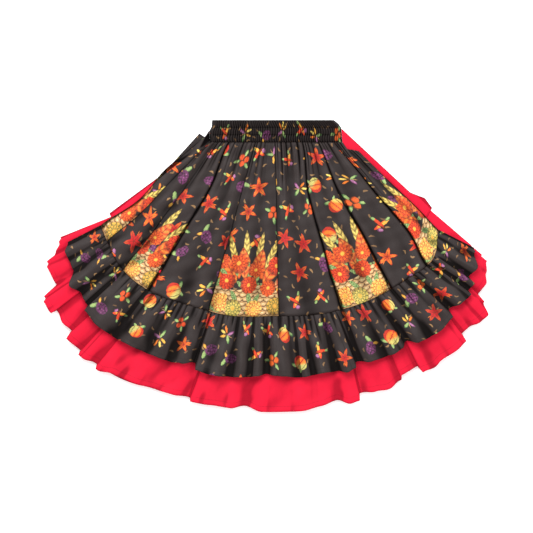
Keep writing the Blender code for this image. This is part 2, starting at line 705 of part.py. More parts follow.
def build_skirt():
    for existing in list(bpy.data.objects):
        bpy.data.objects.remove(existing, do_unlink=True)
    parts = bpy.data.collections.new("gored_skirt")
    bpy.context.scene.collection.children.link(parts)
    plain = material("print_cloth", PRINT_BLACK, 0.62)
    border = material("border_print_cloth", BORDER_BLACK, 0.62)
    red = material("red_cloth", UNDERSKIRT_RED, 0.70)
    finishes = {"plain": plain, "border": border}

    waistband_front(plain, parts)
    waistband_back(plain, parts)
    front_gores(finishes, parts)
    back_gores(finishes, parts)
    front_ruffle(
        "print_ruffle_front", PRINT_HEM, PRINT_HEAD_BEARINGS, print_seam_reach, PRINT_STRIPS,
        PRINT_RUFFLE_STEP, PRINT_RUFFLE_ROWS, print_ruffle_rise, 3, plain, parts,
    )
    front_ruffle(
        "red_ruffle_front", RED_HEM, RED_HEAD_BEARINGS, red_seam_reach, RED_STRIPS,
        RED_RUFFLE_STEP, RED_RUFFLE_ROWS, red_ruffle_rise, 2, red, parts,
    )
    back_heads = tuple(seam["bearing"] for seam in (BACK_SEAMS[-1], BACK_SEAMS[0]))
    right, left = PRINT_BACK_HEM_BEARINGS
    print_back_hem = tuple((d, PRINT_BACK_HEM_REACH) for d in (right, 90.0, left))
    back_ruffle(
        "print_ruffle_back", print_back_hem, back_heads, print_back_seam_reach, PRINT_BACK_WAVES,
        PRINT_BACK_RISE, PRINT_BACK_RUFFLE_ROWS, 0, plain, parts,
    )
    turn = math.degrees(RED_FOLD_WIDTH / red_seam_reach(90.0))
    red_heads = (RED_HEAD_BEARINGS[0] + turn, RED_HEAD_BEARINGS[1] - turn)
    back_ruffle(
        "red_ruffle_back", RED_BACK_HEM, red_heads, red_seam_reach, RED_BACK_WAVES,
        RED_BACK_RISE, RED_BACK_RUFFLE_ROWS, 1, red, parts,
    )
    red_panel("red_panel_front", RED_TOP_EDGE, 0.0, RED_RIGHT_BOW, 2, RED_FRONT_RISE, red, parts)
    red_panel(
        "red_panel_back", RED_BACK_TOP_EDGE, RED_FOLD_WIDTH, STRAIGHT_SIDE, 1, RED_BACK_RISE, red, parts,
    )


build_skirt()
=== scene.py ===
"""Looks of the gored skirt: print gores and ruffle over a red underskirt, seen from straight above.

The cloth follows the same tables as the solids, on finer grids, so the sizes and names are repeated
here. Every sheet carries a map called cut: metres across and down the flat cut piece, for its print.
"""

import math
from collections import namedtuple
from functools import partial

import bpy
import numpy as np
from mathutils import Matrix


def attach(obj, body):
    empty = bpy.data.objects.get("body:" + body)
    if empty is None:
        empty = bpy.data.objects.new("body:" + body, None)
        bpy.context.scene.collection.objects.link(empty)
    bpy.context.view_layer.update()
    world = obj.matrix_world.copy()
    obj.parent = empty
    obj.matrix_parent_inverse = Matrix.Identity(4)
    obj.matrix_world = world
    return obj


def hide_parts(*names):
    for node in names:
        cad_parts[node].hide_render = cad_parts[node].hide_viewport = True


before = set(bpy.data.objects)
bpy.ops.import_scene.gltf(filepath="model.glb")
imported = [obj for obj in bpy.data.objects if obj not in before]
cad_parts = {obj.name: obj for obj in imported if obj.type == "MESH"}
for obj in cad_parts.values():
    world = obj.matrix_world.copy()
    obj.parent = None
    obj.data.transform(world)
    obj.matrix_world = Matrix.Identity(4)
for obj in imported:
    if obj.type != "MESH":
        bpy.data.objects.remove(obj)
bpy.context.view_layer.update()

# Sizes and places that the solids share, in metres. Reaches and bearings, which are in degrees, start
# from the middle of the waist. The ribs are finer than those of the solids, as in the photo.
CLOTH = 0.002
BAND_CLOTH = 0.003
BAND_DEPTH = 0.050
BAND_INSIDE_GAP = 0.0036
BAND_END_ROUND = 0.007
BAND_RIBS = 54
BAND_CHANNELS = 3
BAND_SINK = 0.0008
BAND_CHANNEL_RISE = 0.0012
BAND_RIB_RISE = 0.0019
# Extra crease depth along the band's rows of stitches, which only deepens its painted shade.
BAND_STITCH_SHADE = 0.0004
BAND_BACK_INSET = 0.0003
WAIST_X = 0.0122
WAIST_Y = 0.3275

# By reach: the gap between two sheets, and how high each sheet is lifted by its folds.
LAYER_GAP = ((0.05, 0.0006), (0.11, 0.0006), (0.20, 0.0012), (0.70, 0.0012))
PRINT_BACK_RISE = ((0.05, 0.0), (0.45, 0.0), (0.50, 0.002), (0.70, 0.002))
RED_BACK_RISE = ((0.05, 0.0), (0.11, 0.0), (0.28, 0.002), (0.42, 0.0), (0.50, 0.003), (0.66, 0.005))
RED_FRONT_RISE = (
    (0.05, 0.0), (0.11, 0.0), (0.28, 0.003), (0.42, 0.0), (0.50, 0.004), (0.60, 0.009), (0.66, 0.016),
)

# The hidden back of the print skirt: where its gores end, where its hem lies and where the sheets above
# drop past it. The red front drops past the red back over the width of its fold.
PRINT_BACK_SEAM_REACH = 0.455
PRINT_BACK_HEM_REACH = 0.555
PRINT_BACK_DROP_REACH = 0.635
PRINT_BACK_HEM = tuple((bearing, PRINT_BACK_HEM_REACH) for bearing in (37.5, 90.0, 144.0))
PRINT_BACK_DROP = 0.024
RED_FOLD_WIDTH = 0.009

# The ends of the band by how far down they are, and the upper edges of the gores from left to right.
BAND_LEFT_END = ((0.0, -0.1345), (0.0150, -0.1352), (0.0252, -0.1414), (0.050, -0.1388))
BAND_RIGHT_END = ((0.0, 0.1395), (0.0083, 0.1496), (0.0167, 0.1553), (0.0333, 0.1566), (0.050, 0.1580))
FRONT_TOP_EDGE = (
    (-0.1501, 0.0365), (-0.1468, 0.0352), (-0.14145, 0.0250), (-0.1388, 0.0503),
    (0.1593, 0.0503), (0.1625, 0.0642), (0.1946, 0.0700),
)
BACK_TOP_EDGE = (
    (-0.1631, 0.0297), (-0.1523, 0.0370), (-0.1416, 0.0503), (0.1590, 0.0503), (0.1650, 0.0560),
)

# The seams between gores, from left to right: the place along the waist, the bearing at the foot, the
# kind of the gore on its right, and how far it bows aside high up and low down.
Seam = namedtuple("Seam", "x bearing gore bow_high bow_low", defaults=(0.0, 0.0))
FRONT_SEAMS = (
    Seam(-0.1501, 148.4, "border", -0.003, 0.018),
    Seam(-0.1390, 143.6, "plain", 0.004, 0.010),
    Seam(-0.1240, 134.8, "border", 0.004, 0.004),
    Seam(-0.0968, 126.0, "plain", 0.014, 0.006),
    Seam(-0.0360, 108.4, "border"),
    Seam(0.0068, 88.0, "plain"),
    Seam(0.0686, 69.8, "border", -0.014, -0.008),
    Seam(0.1046, 54.9, "plain", -0.010, -0.002),
    Seam(0.1406, 43.2, "border", 0.006, 0.016),
    Seam(0.1946, 33.4, None, 0.000, 0.003),
)

# Where down a seam it bows, as shares, and how near to the middle a gore shows its whole width.
SEAM_BOW_PLACES = (0.0, 0.33, 0.72, 1.0)
MIDDLE_BEARING = 98
MIDDLE_SPAN = 5
BACK_SEAMS = (
    Seam(-0.1631, 145.0, "plain"), Seam(-0.1200, 129.0, "border"), Seam(-0.0720, 113.5, "plain"),
    Seam(-0.0250, 98.0, "border"), Seam(0.0220, 82.5, "plain"), Seam(0.0690, 67.0, "border"),
    Seam(0.1160, 51.5, "plain"), Seam(0.1640, 37.5, None),
)

# The folds of the front gores, from right to left: the bearing at the foot, and the rise at the top and
# at the foot as shares of GORE_RISE. High rows are crests and low rows are valleys.
GORE_RISE = 0.008
GORE_FOLDS = (
    (33.4, 0.3, 0.2), (34.8, 0.7, 0.6), (37.2, 0.2, 0.3), (40.0, 0.8, 0.7), (42.3, 0.7, 0.6),
    (43.2, 0.0, 0.0), (44.1, 0.7, 0.5), (45.6, 0.8, 0.6), (50.0, 0.4, 0.8), (53.8, 0.5, 0.6),
    (54.9, 0.0, 0.0), (56.0, 0.6, 0.4), (58.0, 0.8, 0.5), (61.5, 0.2, 0.3), (66.0, 0.7, 0.6),
    (68.7, 0.6, 0.5), (69.8, 0.0, 0.0), (70.9, 0.6, 0.4), (76.0, 0.8, 0.5), (80.0, 0.1, 0.2),
    (85.0, 0.6, 0.5), (88.0, 0.3, 0.2), (92.0, 0.5, 0.5), (96.0, 0.2, 0.2), (100.5, 0.6, 0.6),
    (105.0, 0.2, 0.4), (108.4, 0.0, 0.0), (113.0, 0.8, 0.7), (117.0, 0.2, 0.4), (121.5, 1.0, 0.6),
    (124.8, 0.8, 0.5), (126.0, 0.0, 0.0), (127.1, 0.5, 0.5), (130.5, 0.6, 0.7), (134.8, 0.1, 0.0),
    (139.5, 0.7, 1.0), (143.6, 0.2, 0.3), (146.2, 0.6, 0.6), (148.4, 0.2, 0.2),
)
GATHER_RISE = 0.0035

# Where the print ruffle is sewn to the gores: bearing, reach.
PRINT_SEAM_REACH = (
    (30.0, 0.436), (34.0, 0.449), (40.0, 0.475), (50.0, 0.467), (63.0, 0.458),
    (78.0, 0.447), (88.0, 0.440), (103.0, 0.449), (114.0, 0.455), (126.0, 0.472),
    (136.0, 0.473), (144.0, 0.458), (149.0, 0.450),
)
PRINT_HEAD_BEARINGS = (33.4, 148.4)

# The red panels: bearing and reach of the seam to their ruffle, the bearings of the ends of that seam on
# the panels and on the ruffle, and the upper edges.
RED_SEAM_REACH = ((28.0, 0.410), (90.0, 0.416), (151.0, 0.421))
RED_PANEL_BEARINGS = (28.7, 150.2)
RED_HEAD_BEARINGS = (29.6, 149.0)
RED_TOP_EDGE = (
    (-0.1420, 0.0450), (-0.1390, 0.0503), (0.1583, 0.0503), (0.1559, 0.0200), (0.1568, 0.0195),
)
RED_BACK_TOP_EDGE = ((-0.1330, 0.0503), (0.1560, 0.0503))

# How far the right edge of the red panel stands out from a straight line: the share of the way down, out.
RED_RIGHT_BOW = ((0.0, 0.0), (0.35, -0.003), (0.60, -0.005), (0.78, -0.0065), (0.90, 0.006), (1.0, 0.0))
RED_RIGHT_OUTWARD = (0.66, -0.75)
STRAIGHT_SIDE = ((0.0, 0.0), (1.0, 0.0))

# The hem of each front ruffle, from right to left, a row for each crest, valley and step that shows:
# the bearing, the reach, and the rise as a share of the ruffle's tallest fold.
PRINT_HEM_RISE = 0.018
PRINT_HEM = (
    (32.3, 0.536, 0.15), (33.2, 0.542, 0.50), (36.0, 0.567, 0.85), (38.4, 0.563, 0.05),
    (39.2, 0.583, 0.65), (40.7, 0.582, 0.10), (41.5, 0.593, 0.60), (44.2, 0.590, 0.90),
    (46.7, 0.580, 0.00), (47.8, 0.599, 0.70), (51.3, 0.604, 1.00), (54.0, 0.601, 0.65),
    (56.5, 0.597, 0.85), (58.9, 0.579, 0.00), (60.2, 0.589, 0.50), (62.3, 0.591, 0.80),
    (64.3, 0.588, 0.35), (67.6, 0.585, 0.80), (70.6, 0.574, 0.10), (71.6, 0.586, 0.75),
    (73.2, 0.590, 0.90), (75.5, 0.581, 0.05), (78.7, 0.578, 0.70), (80.7, 0.579, 0.25),
    (82.3, 0.580, 0.70), (83.9, 0.580, 0.30), (87.2, 0.575, 0.85), (89.4, 0.573, 0.60),
    (91.2, 0.569, 0.00), (93.3, 0.575, 0.70), (95.1, 0.578, 0.25), (97.3, 0.581, 0.75),
    (99.3, 0.583, 0.30), (102.0, 0.586, 0.90), (104.5, 0.587, 0.60), (106.7, 0.585, 0.80),
    (107.8, 0.571, 0.05), (110.5, 0.582, 0.50), (113.0, 0.588, 0.15), (116.0, 0.590, 0.85),
    (118.7, 0.593, 0.45), (122.5, 0.597, 0.95), (126.1, 0.602, 0.05), (130.5, 0.604, 0.90),
    (134.2, 0.598, 0.60), (135.1, 0.585, 0.15), (136.3, 0.582, 0.40), (137.8, 0.577, 0.00),
    (140.5, 0.586, 1.00), (143.0, 0.557, 0.25), (145.0, 0.553, 0.15), (147.2, 0.550, 0.75),
    (149.1, 0.533, 0.20),
)
RED_HEM = (
    (32.1, 0.529, 0.10), (32.9, 0.560, 0.45), (33.4, 0.577, 0.60), (35.5, 0.590, 0.80),
    (37.5, 0.605, 0.50), (39.9, 0.605, 0.05), (40.8, 0.627, 0.45), (42.1, 0.653, 0.75),
    (44.0, 0.651, 0.50), (46.6, 0.641, 0.20), (48.0, 0.641, 0.05), (49.0, 0.660, 0.55),
    (51.0, 0.662, 0.80), (54.7, 0.659, 0.50), (56.6, 0.664, 0.40), (58.9, 0.659, 0.70),
    (59.7, 0.641, 0.05), (62.7, 0.642, 0.45), (63.9, 0.651, 0.15), (66.4, 0.658, 0.65),
    (69.0, 0.652, 0.40), (71.9, 0.644, 0.05), (72.9, 0.659, 0.60), (74.4, 0.660, 0.75),
    (77.0, 0.645, 0.15), (80.4, 0.651, 0.55), (84.0, 0.656, 0.75), (88.0, 0.655, 0.50),
    (92.0, 0.655, 0.60), (95.4, 0.644, 0.05), (98.3, 0.653, 0.55), (101.0, 0.653, 0.60),
    (103.9, 0.656, 0.40), (105.9, 0.657, 0.60), (106.8, 0.649, 0.05), (110.0, 0.655, 0.45),
    (113.5, 0.658, 0.25), (118.5, 0.667, 0.75), (122.0, 0.672, 0.45), (125.0, 0.684, 0.60),
    (126.0, 0.674, 0.05), (128.4, 0.682, 0.60), (129.3, 0.682, 0.50), (130.0, 0.672, 0.05),
    (133.0, 0.673, 0.60), (133.9, 0.652, 0.05), (135.7, 0.654, 0.35), (138.2, 0.645, 0.00),
    (139.1, 0.658, 0.60), (141.2, 0.654, 1.00), (142.0, 0.646, 0.60), (142.9, 0.608, 0.00),
    (146.5, 0.603, 0.55), (147.6, 0.596, 0.65), (148.5, 0.569, 0.10), (149.9, 0.551, 0.25),
    (151.1, 0.543, 0.10),
)

# The hem of the red back ruffle, from right to left: bearing, reach.
RED_BACK_HEM = (
    (32.8, 0.532), (35.0, 0.575), (38.0, 0.594), (40.3, 0.601), (42.5, 0.630),
    (47.5, 0.637), (54.0, 0.643), (60.5, 0.638), (66.0, 0.643), (71.5, 0.642),
    (77.5, 0.643), (84.0, 0.648), (90.0, 0.649), (96.0, 0.643), (102.0, 0.648),
    (107.5, 0.648), (112.0, 0.657), (115.0, 0.661), (117.0, 0.6665), (120.0, 0.672),
    (122.5, 0.674), (128.0, 0.668), (133.0, 0.656), (134.5, 0.648), (138.0, 0.641),
    (141.0, 0.628), (143.0, 0.604), (147.0, 0.590), (149.9, 0.548),
)

# Finer form that only shows here: dips along seams, small gathers, soft waves, steps where a hem laps
# over itself, how thick the sheets are, and how many steps a solid's column gets.
SEAM_DIP = 0.0004
SEAM_DIP_WIDTH = 0.0022
GATHER_PITCH = 0.0078
RUFFLE_GATHER_PITCH = 0.0105
SOFT_WAVE = 0.00045
STEP_SPAN = 1.3
STEP_SHARE = 0.4
SHEET = 0.0007
LEAST_RISE = SHEET * 1.3
BAND_SHEET = 0.0012
FINE = 6

# How wide a column of the solids is in degrees, and where the strips of the front ruffles are joined.
GORE_STEP = 1.5
PRINT_RUFFLE_STEP = 1.3
RED_RUFFLE_STEP = 1.4
PRINT_STRIPS = (32.3, 70.6, 107.8, 149.1)
RED_STRIPS = (32.1, 71.9, 106.8, 151.1)

# Cut sizes: a whole gore is narrow at the waist and wide at the ruffle, and the cloth is fuller than its
# place at the waist and a little fuller at the foot.
GORE_TOP = 0.060
GORE_FOOT = 0.158
TOP_FULLNESS = 1.3
FOOT_FULLNESS = 1.03
PRINT_RUFFLE_DEPTH = 0.138
PRINT_BACK_RUFFLE_DEPTH = 0.10
RED_RUFFLE_DEPTH = 0.232
RED_PANEL_LENGTH = 0.375
RED_PANEL_TOP = 0.34
RED_PANEL_FOOT = 0.88

# Scale of the cut maps: metres of a ruffle's cut for each radian, the band's cut for its width, and how
# far the print of one gore or band lies from that of the next.
RUFFLE_CUT = 0.66
BACK_RUFFLE_CUT = 0.60
BAND_FULLNESS = 1.55
PRINT_JUMP = 0.37
BAND_BACK_JUMP = 3

# Folds and waves: how much of a gore's folds starts at the waist, where its gathers and the creases of
# the red hem run out, and the waves of the back ruffles and of the red panels.
GORE_TOP_SHARE = 0.45
GORE_GATHER_LENGTH = 0.115
RUFFLE_GATHER_LENGTH = 0.070
RED_CREASE_PITCH = 0.026
RED_CREASE_LENGTH = 0.11
RED_CREASE_RISE = 0.0009
PRINT_BACK_WAVES = 10
RED_BACK_WAVES = 16
RED_PANEL_WAVES = 9

# Seeds of the folds by chance, and the beds of the sheets from the lowest to the highest.
BAND_SEED = 7
GORE_SEED = 40
PRINT_RUFFLE_SEED = 61
RED_RUFFLE_SEED = 67
GORE_WAVE_SEED = 3
RUFFLE_WAVE_SEED = 5
PRINT_BACK, RED_BACK, RED_FRONT, PRINT_FRONT = range(4)

# Grids: columns and rows of points. The band's back has one row in so many of its front.
GORE_ROWS = 65
BACK_GORE_GRID = (13, 31)
FRONT_RUFFLE_ROWS = 49
BACK_RUFFLE_ROWS = 21
POINTS_PER_WAVE = 16
RED_PANEL_GRID = (225, 41)
BAND_ROWS = 61
BAND_TURN_STEPS = 9
POINTS_PER_RIB = 8
BAND_BACK_THIN = 10

# The studio: lamps are a name, a place, a size and a power in watts. The picture spans the frame's width
# at the frame's level.
WORLD_LIGHT = 0.95
FLOOR_GLOW = 0.25
FLOOR_SIDE = 4.0
FLOOR_DEPTH = 0.0004
LAMPS = (("key", (-0.35, 1.60, 2.6), 1.6, 85.0), ("fill", (1.8, -0.6, 2.6), 1.8, 15.0))
CAMERA_HEIGHT = 6.0
CAMERA_DOWN = 0.0011
CAMERA_CLOSER = 1.003
CAMERA_SENSOR = 36.0
FRAME_WIDTH = 1.19925
FRAME_LEVEL = 0.01

# Painted light and shade: how each cloth's colour is scaled on its crests, in its broad hollows and in
# its sharp creases.
PRINT_SHADES = (1.00, 0.52, 0.16)
RUFFLE_SHADES = (0.94, 0.60, 0.32)
BAND_SHADES = (0.60, 0.22, 0.04)
RED_SHADES = (0.94, 0.84, 0.62)
RED_DYE = (0.635, 0.0080, 0.033)


def straight(table, value):
    rows = np.array(table)
    return np.interp(value, rows[:, 0], rows[:, 1])


def eased(keys, values, value, crisp=False):
    """Values that ease from row to row, so that each row is a crest, a valley or a level stretch. Where
    crisp, rows that are close together are a step."""
    keys, values, value = np.array(keys), np.array(values), np.asarray(value, float)
    i = np.clip(np.searchsorted(keys, value) - 1, 0, len(keys) - 2)
    span = keys[i + 1] - keys[i]
    s = np.clip((value - keys[i]) / span, 0, 1)
    if crisp:
        s = np.where(span < STEP_SPAN, np.clip((s - 0.5) / STEP_SHARE + 0.5, 0, 1), s)
    return values[i] + (values[i + 1] - values[i]) * (0.5 - 0.5 * np.cos(np.pi * s))


def curved(table, value):
    """A smooth curve through the rows of a table."""
    rows = np.array(table, float)
    keys, values = rows[:, 0], rows[:, 1]
    slopes = np.gradient(values, keys)
    value = np.asarray(value, float)
    i = np.clip(np.searchsorted(keys, value) - 1, 0, len(keys) - 2)
    span = keys[i + 1] - keys[i]
    s = np.clip((value - keys[i]) / span, 0, 1)
    start = (1 + 2 * s) * (1 - s) ** 2 * values[i] + s * (1 - s) ** 2 * span * slopes[i]
    return start + s * s * (3 - 2 * s) * values[i + 1] + s * s * (s - 1) * span * slopes[i + 1]


def even(count):
    """Even steps from 0 to 1."""
    return np.linspace(0, 1, count)


def ramp(value, start, end):
    s = np.clip((value - start) / (end - start), 0, 1)
    return s * s * (3 - 2 * s)


def polar(bearing, reach):
    angle = np.radians(bearing)
    return np.stack([reach * np.cos(angle), reach * np.sin(angle)], axis=-1)


def red_side(side):
    end = 0 if side == "right" else -1
    head = RED_PANEL_BEARINGS[end]
    foot = polar(head, straight(RED_SEAM_REACH, head))
    return np.array(RED_TOP_EDGE[-1 - end]), foot, polar(*RED_HEM[end][:2])


def print_back_side(side):
    end = -1 if side == "right" else 0
    foot = polar(BACK_SEAMS[end].bearing, PRINT_BACK_SEAM_REACH)
    return np.array(BACK_TOP_EDGE[end]), foot, polar(*PRINT_BACK_HEM[-end - 1])


def inset_from_sides(spots, side_corners):
    """How far inside the nearer side edge of a sheet each place is. It is negative outside."""
    nearest = []
    for side, sign in (("right", 1.0), ("left", -1.0)):
        top, seam, hem = side_corners(side)
        offs = []
        for a, b in ((top, seam), (seam, hem)):
            along = (b - a) / np.linalg.norm(b - a)
            off = spots - a
            offs.append(sign * (along[0] * off[..., 1] - along[1] * off[..., 0]))
        nearest.append(np.maximum(*offs))
    return np.minimum(*nearest)


def beds(spots):
    """The height on which each sheet lies at each place, from the lowest sheet to the highest."""
    reach = np.hypot(spots[..., 0], spots[..., 1])
    gap = straight(LAYER_GAP, reach)
    over_print_back = 1.0 - ramp(reach, PRINT_BACK_HEM_REACH, PRINT_BACK_DROP_REACH)
    outside = -inset_from_sides(spots, print_back_side)
    over_print_back = over_print_back * (1.0 - ramp(outside, 0.001, PRINT_BACK_DROP))
    over_red_back = ramp(inset_from_sides(spots, red_side), 0.0, RED_FOLD_WIDTH)
    print_back = (CLOTH + gap + straight(PRINT_BACK_RISE, reach)) * over_print_back
    red_back = (CLOTH + gap + straight(RED_BACK_RISE, reach)) * over_red_back
    red_front = CLOTH + gap + straight(RED_FRONT_RISE, reach)
    return np.cumsum([np.zeros_like(reach), print_back, red_back, red_front], axis=0)


def columns_between(bearings, step):
    found = [bearings[0]]
    for a, b in zip(bearings, bearings[1:]):
        count = max(1, round((b - a) / step))
        found += [a + (b - a) * k / count for k in range(1, count + 1)]
    return found


def finer(marks, count):
    """The marks of the solid's columns or rows, with count steps between one and the next."""
    last = len(marks) - 1
    return np.interp(np.linspace(0, last, last * count + 1), range(last + 1), np.array(marks, float))


def gathers(along, below, pitch, seed, longest):
    """Small uneven folds that start at a seam and run out below it, as shares of the tallest. Their
    crests are round and the valleys between them are sharp."""
    chance = np.random.default_rng(seed)
    along = np.broadcast_to(along, np.broadcast(along, below).shape)
    total = np.zeros(along.shape)
    for place in np.arange(along.min() - pitch, along.max() + pitch, pitch):
        middle = place + chance.uniform(-0.4, 0.4) * pitch
        width = pitch * chance.uniform(0.30, 0.62)
        length = longest * chance.uniform(0.25, 1.0)
        height = chance.uniform(0.30, 1.0)
        ridge = np.exp(-(((along - middle) / width) ** 2)) * np.exp(-((below / length) ** 2))
        total = np.maximum(total, height * ridge)
    return total


def soft_waves(spots, seed):
    """Broad shallow waves that cross each other at all angles."""
    chance = np.random.default_rng(seed)
    total = np.zeros(spots.shape[:-1])
    for _ in range(9):
        angle, phase = chance.uniform(0, math.tau, 2)
        pitch = chance.uniform(0.030, 0.110)
        way = spots[..., 0] * math.cos(angle) + spots[..., 1] * math.sin(angle)
        total += np.sin(math.tau * way / pitch + phase)
    return SOFT_WAVE * total


def seam_dip(distance):
    return -SEAM_DIP * np.exp(-((distance / SEAM_DIP_WIDTH) ** 2))


def placed(name, data):
    """A new object in the scene."""
    made = bpy.data.objects.new(name, data)
    bpy.context.scene.collection.objects.link(made)
    return made


def hollows(height, reach):
    """How far each point lies below the mean of its neighbours across the folds."""
    span = 2 * reach + 1
    padded = np.pad(height, ((0, 0), (reach, reach)), mode="edge")
    sums = np.cumsum(np.pad(padded, ((0, 0), (1, 0))), axis=1)
    return (sums[:, span:] - sums[:, :-span]) / span - height


def cloth(node, spots, height, cut, edges, look, thickness=SHEET, hollow_reach=12, stitch_shade=0.0):
    """The sheet that stands for a node, over a grid: places, the height of its upper face, the cut map,
    and how far each point is from the side seams and from the hem. A third map holds how deep each point
    lies in broad hollows and in sharp creases, in millimetres, for the painted shade that darkens them,
    with more painted shade along the rows of stitches."""
    rows, columns = height.shape
    points = np.stack([WAIST_X + spots[..., 0], WAIST_Y - spots[..., 1], height], axis=-1).reshape(-1, 3)
    corner = (np.arange(rows - 1)[:, None] * columns + np.arange(columns - 1)).reshape(-1)
    faces = np.stack([corner, corner + columns, corner + columns + 1, corner + 1], axis=-1)
    mesh = bpy.data.meshes.new(f"cloth_{node}")
    mesh.from_pydata(points.tolist(), [], faces.tolist())
    if mesh.polygons[0].normal.z < 0:
        mesh.flip_normals()
    loops = np.empty(len(mesh.loops), int)
    mesh.loops.foreach_get("vertex_index", loops)
    # Painted shade: how deep each point lies in hollows and creases, plus the stitch shade, darkens its
    # colour in the material.
    creases = hollows(height, max(2, hollow_reach // 3)) + stitch_shade
    painted_shade_depth = (hollows(height, hollow_reach) * 1000, creases * 1000)
    for map_name, values in (("cut", cut), ("edges", edges), ("painted_shade_depth", painted_shade_depth)):
        layer = mesh.uv_layers.new(name=map_name)
        layer.data.foreach_set("uv", np.stack(values, axis=-1).reshape(-1, 2)[loops].reshape(-1))
    mesh.shade_smooth()
    mesh.materials.append(look[0])
    piece = placed(mesh.name, mesh)
    solid = piece.modifiers.new("thickness", "SOLIDIFY")
    solid.thickness = thickness
    solid.offset = -1
    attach(piece, "root")
    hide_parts(node)
    return piece


def gore_fold_rise(bearing, down_share):
    keys, tops, feet = zip(*GORE_FOLDS)
    top, foot = eased(keys, tops, bearing), eased(keys, feet, bearing)
    return GORE_RISE * ((1 - down_share) * GORE_TOP_SHARE * top + down_share * foot)


def seam_line(seam, down_shares, seam_reach, top_edge):
    """Places down the seam between two gores, from the waist at 0 to the ruffle at 1."""
    top = np.array([seam.x, straight(top_edge, seam.x)])
    foot = polar(seam.bearing, seam_reach(seam.bearing))
    bow = eased(SEAM_BOW_PLACES, (0.0, seam.bow_high, seam.bow_low, 0.0), down_shares)
    line = top + (foot - top) * down_shares[:, None]
    line[:, 0] += bow
    return line


def gore_grid(left, right, shares, down_shares, seam_reach, top_edge):
    """Places on a gore, a row for each share of the way down and a column for each share across."""
    a = seam_line(left, down_shares, seam_reach, top_edge)[:, None]
    b = seam_line(right, down_shares, seam_reach, top_edge)[:, None]
    spots = a + (b - a) * shares[None, :, None]
    bearings = left.bearing + (right.bearing - left.bearing) * shares
    top = straight(top_edge, spots[0, :, 0])
    sunk = (top - spots[0, :, 1])[None] * np.clip(1 - down_shares / 0.10, 0, 1)[:, None]
    arc = polar(bearings, seam_reach(bearings))
    swing = (arc - spots[-1])[None] * (np.clip((down_shares - 0.5) / 0.5, 0, 1) ** 2)[:, None, None]
    spots[..., 1] += sunk
    return spots + swing


def print_seam_reach(bearing):
    return curved(PRINT_SEAM_REACH, bearing)


def print_back_seam_reach(bearing):
    return PRINT_BACK_SEAM_REACH + 0 * np.asarray(bearing, float)


def red_seam_reach(bearing):
    return straight(RED_SEAM_REACH, bearing)


def run_length(line):
    return float(np.linalg.norm(np.diff(line, axis=0), axis=1).sum())


def gore_cut(spots, shares, down_shares, number, inner_side):
    """The cut map and the edges map of a gore, with the size of what shows of it. A gore near a side of
    the skirt shows only the part by its inner seam, which is on its right for 1 and its left for -1."""
    length = (run_length(spots[:, 0]) + run_length(spots[:, -1])) / 2
    lean = spots[-1].mean(axis=0) - spots[0].mean(axis=0)
    lean = lean / np.linalg.norm(lean)
    runs = (row[-1] - row[0] for row in (spots[0], spots[-1]))
    top, foot = (float(abs(run[0] * lean[1] - run[1] * lean[0])) for run in runs)
    top, foot = TOP_FULLNESS * top, FOOT_FULLNESS * foot
    down = down_shares[:, None]
    width = top + (foot - top) * down
    hidden = np.maximum(GORE_TOP + (GORE_FOOT - GORE_TOP) * down - width, 0)
    across = (shares[None] - 0.5) * width + inner_side * hidden / 2
    to_seam = np.minimum(shares, 1 - shares)[None] * width
    below = np.repeat(down * length, len(shares), axis=1)
    return (across + PRINT_JUMP * number, below), (to_seam, length - below), (foot, length, top)


def gore(name, spots, height, cut, edges, look, size):
    foot, length, top = size
    piece = cloth(name, spots, height, cut, edges, look)
    length * (top + foot) / 2


def front_gores(looks):
    keys = [fold[0] for fold in GORE_FOLDS]
    down = even(GORE_ROWS)
    for number, (left, right) in enumerate(zip(FRONT_SEAMS, FRONT_SEAMS[1:]), 1):
        inside = [k for k in reversed(keys) if right.bearing < k < left.bearing]
        knots = [-k for k in (left.bearing, *inside, right.bearing)]
        bearings = finer([-k for k in columns_between(knots, GORE_STEP)], FINE)
        shares = (left.bearing - bearings) / (left.bearing - right.bearing)
        spots = gore_grid(left, right, shares, down, print_seam_reach, FRONT_TOP_EDGE)
        aside = (left.bearing + right.bearing) / 2 - MIDDLE_BEARING
        inner_side = 0 if abs(aside) < MIDDLE_SPAN else math.copysign(1, aside)
        cut, edges, size = gore_cut(spots, shares, down, number, inner_side)
        small = gathers(spots[:1, :, 0], cut[1], GATHER_PITCH, GORE_SEED + number, GORE_GATHER_LENGTH)
        rise = gore_fold_rise(bearings[None], down[:, None]) + GATHER_RISE * small
        rise = rise + soft_waves(spots, GORE_WAVE_SEED) + seam_dip(edges[0]) + seam_dip(edges[1]) * 0.6
        height = beds(spots)[PRINT_FRONT] + np.maximum(CLOTH + rise, LEAST_RISE)
        gore(f"front_gore_{number}_{left.gore}", spots, height, cut, edges, looks[left.gore], size)


def back_gores(looks):
    shares, down = map(even, BACK_GORE_GRID)
    for number, (left, right) in enumerate(zip(BACK_SEAMS, BACK_SEAMS[1:]), 1):
        spots = gore_grid(left, right, shares, down, print_back_seam_reach, BACK_TOP_EDGE)
        cut, edges, size = gore_cut(spots, shares, down, number + 20, 0)
        height = np.broadcast_to(CLOTH + 0.6 * seam_dip(edges[0]), cut[0].shape)
        gore(f"back_gore_{number}_{left.gore}", spots, height, cut, edges, looks[left.gore], size)


def ruffle_grid(bearings, down_shares, ends, heads, seam_reach, hem_reach):
    """Places on a ruffle and the bearing of each column's head. Ends and heads are the bearings of its
    side edges at the hem and at the seam."""
    across = (bearings - ends[0]) / (ends[1] - ends[0])
    head = heads[0] + (heads[1] - heads[0]) * across
    start = polar(head, seam_reach(head))[None]
    return start + (polar(bearings, hem_reach)[None] - start) * down_shares[:, None, None], head


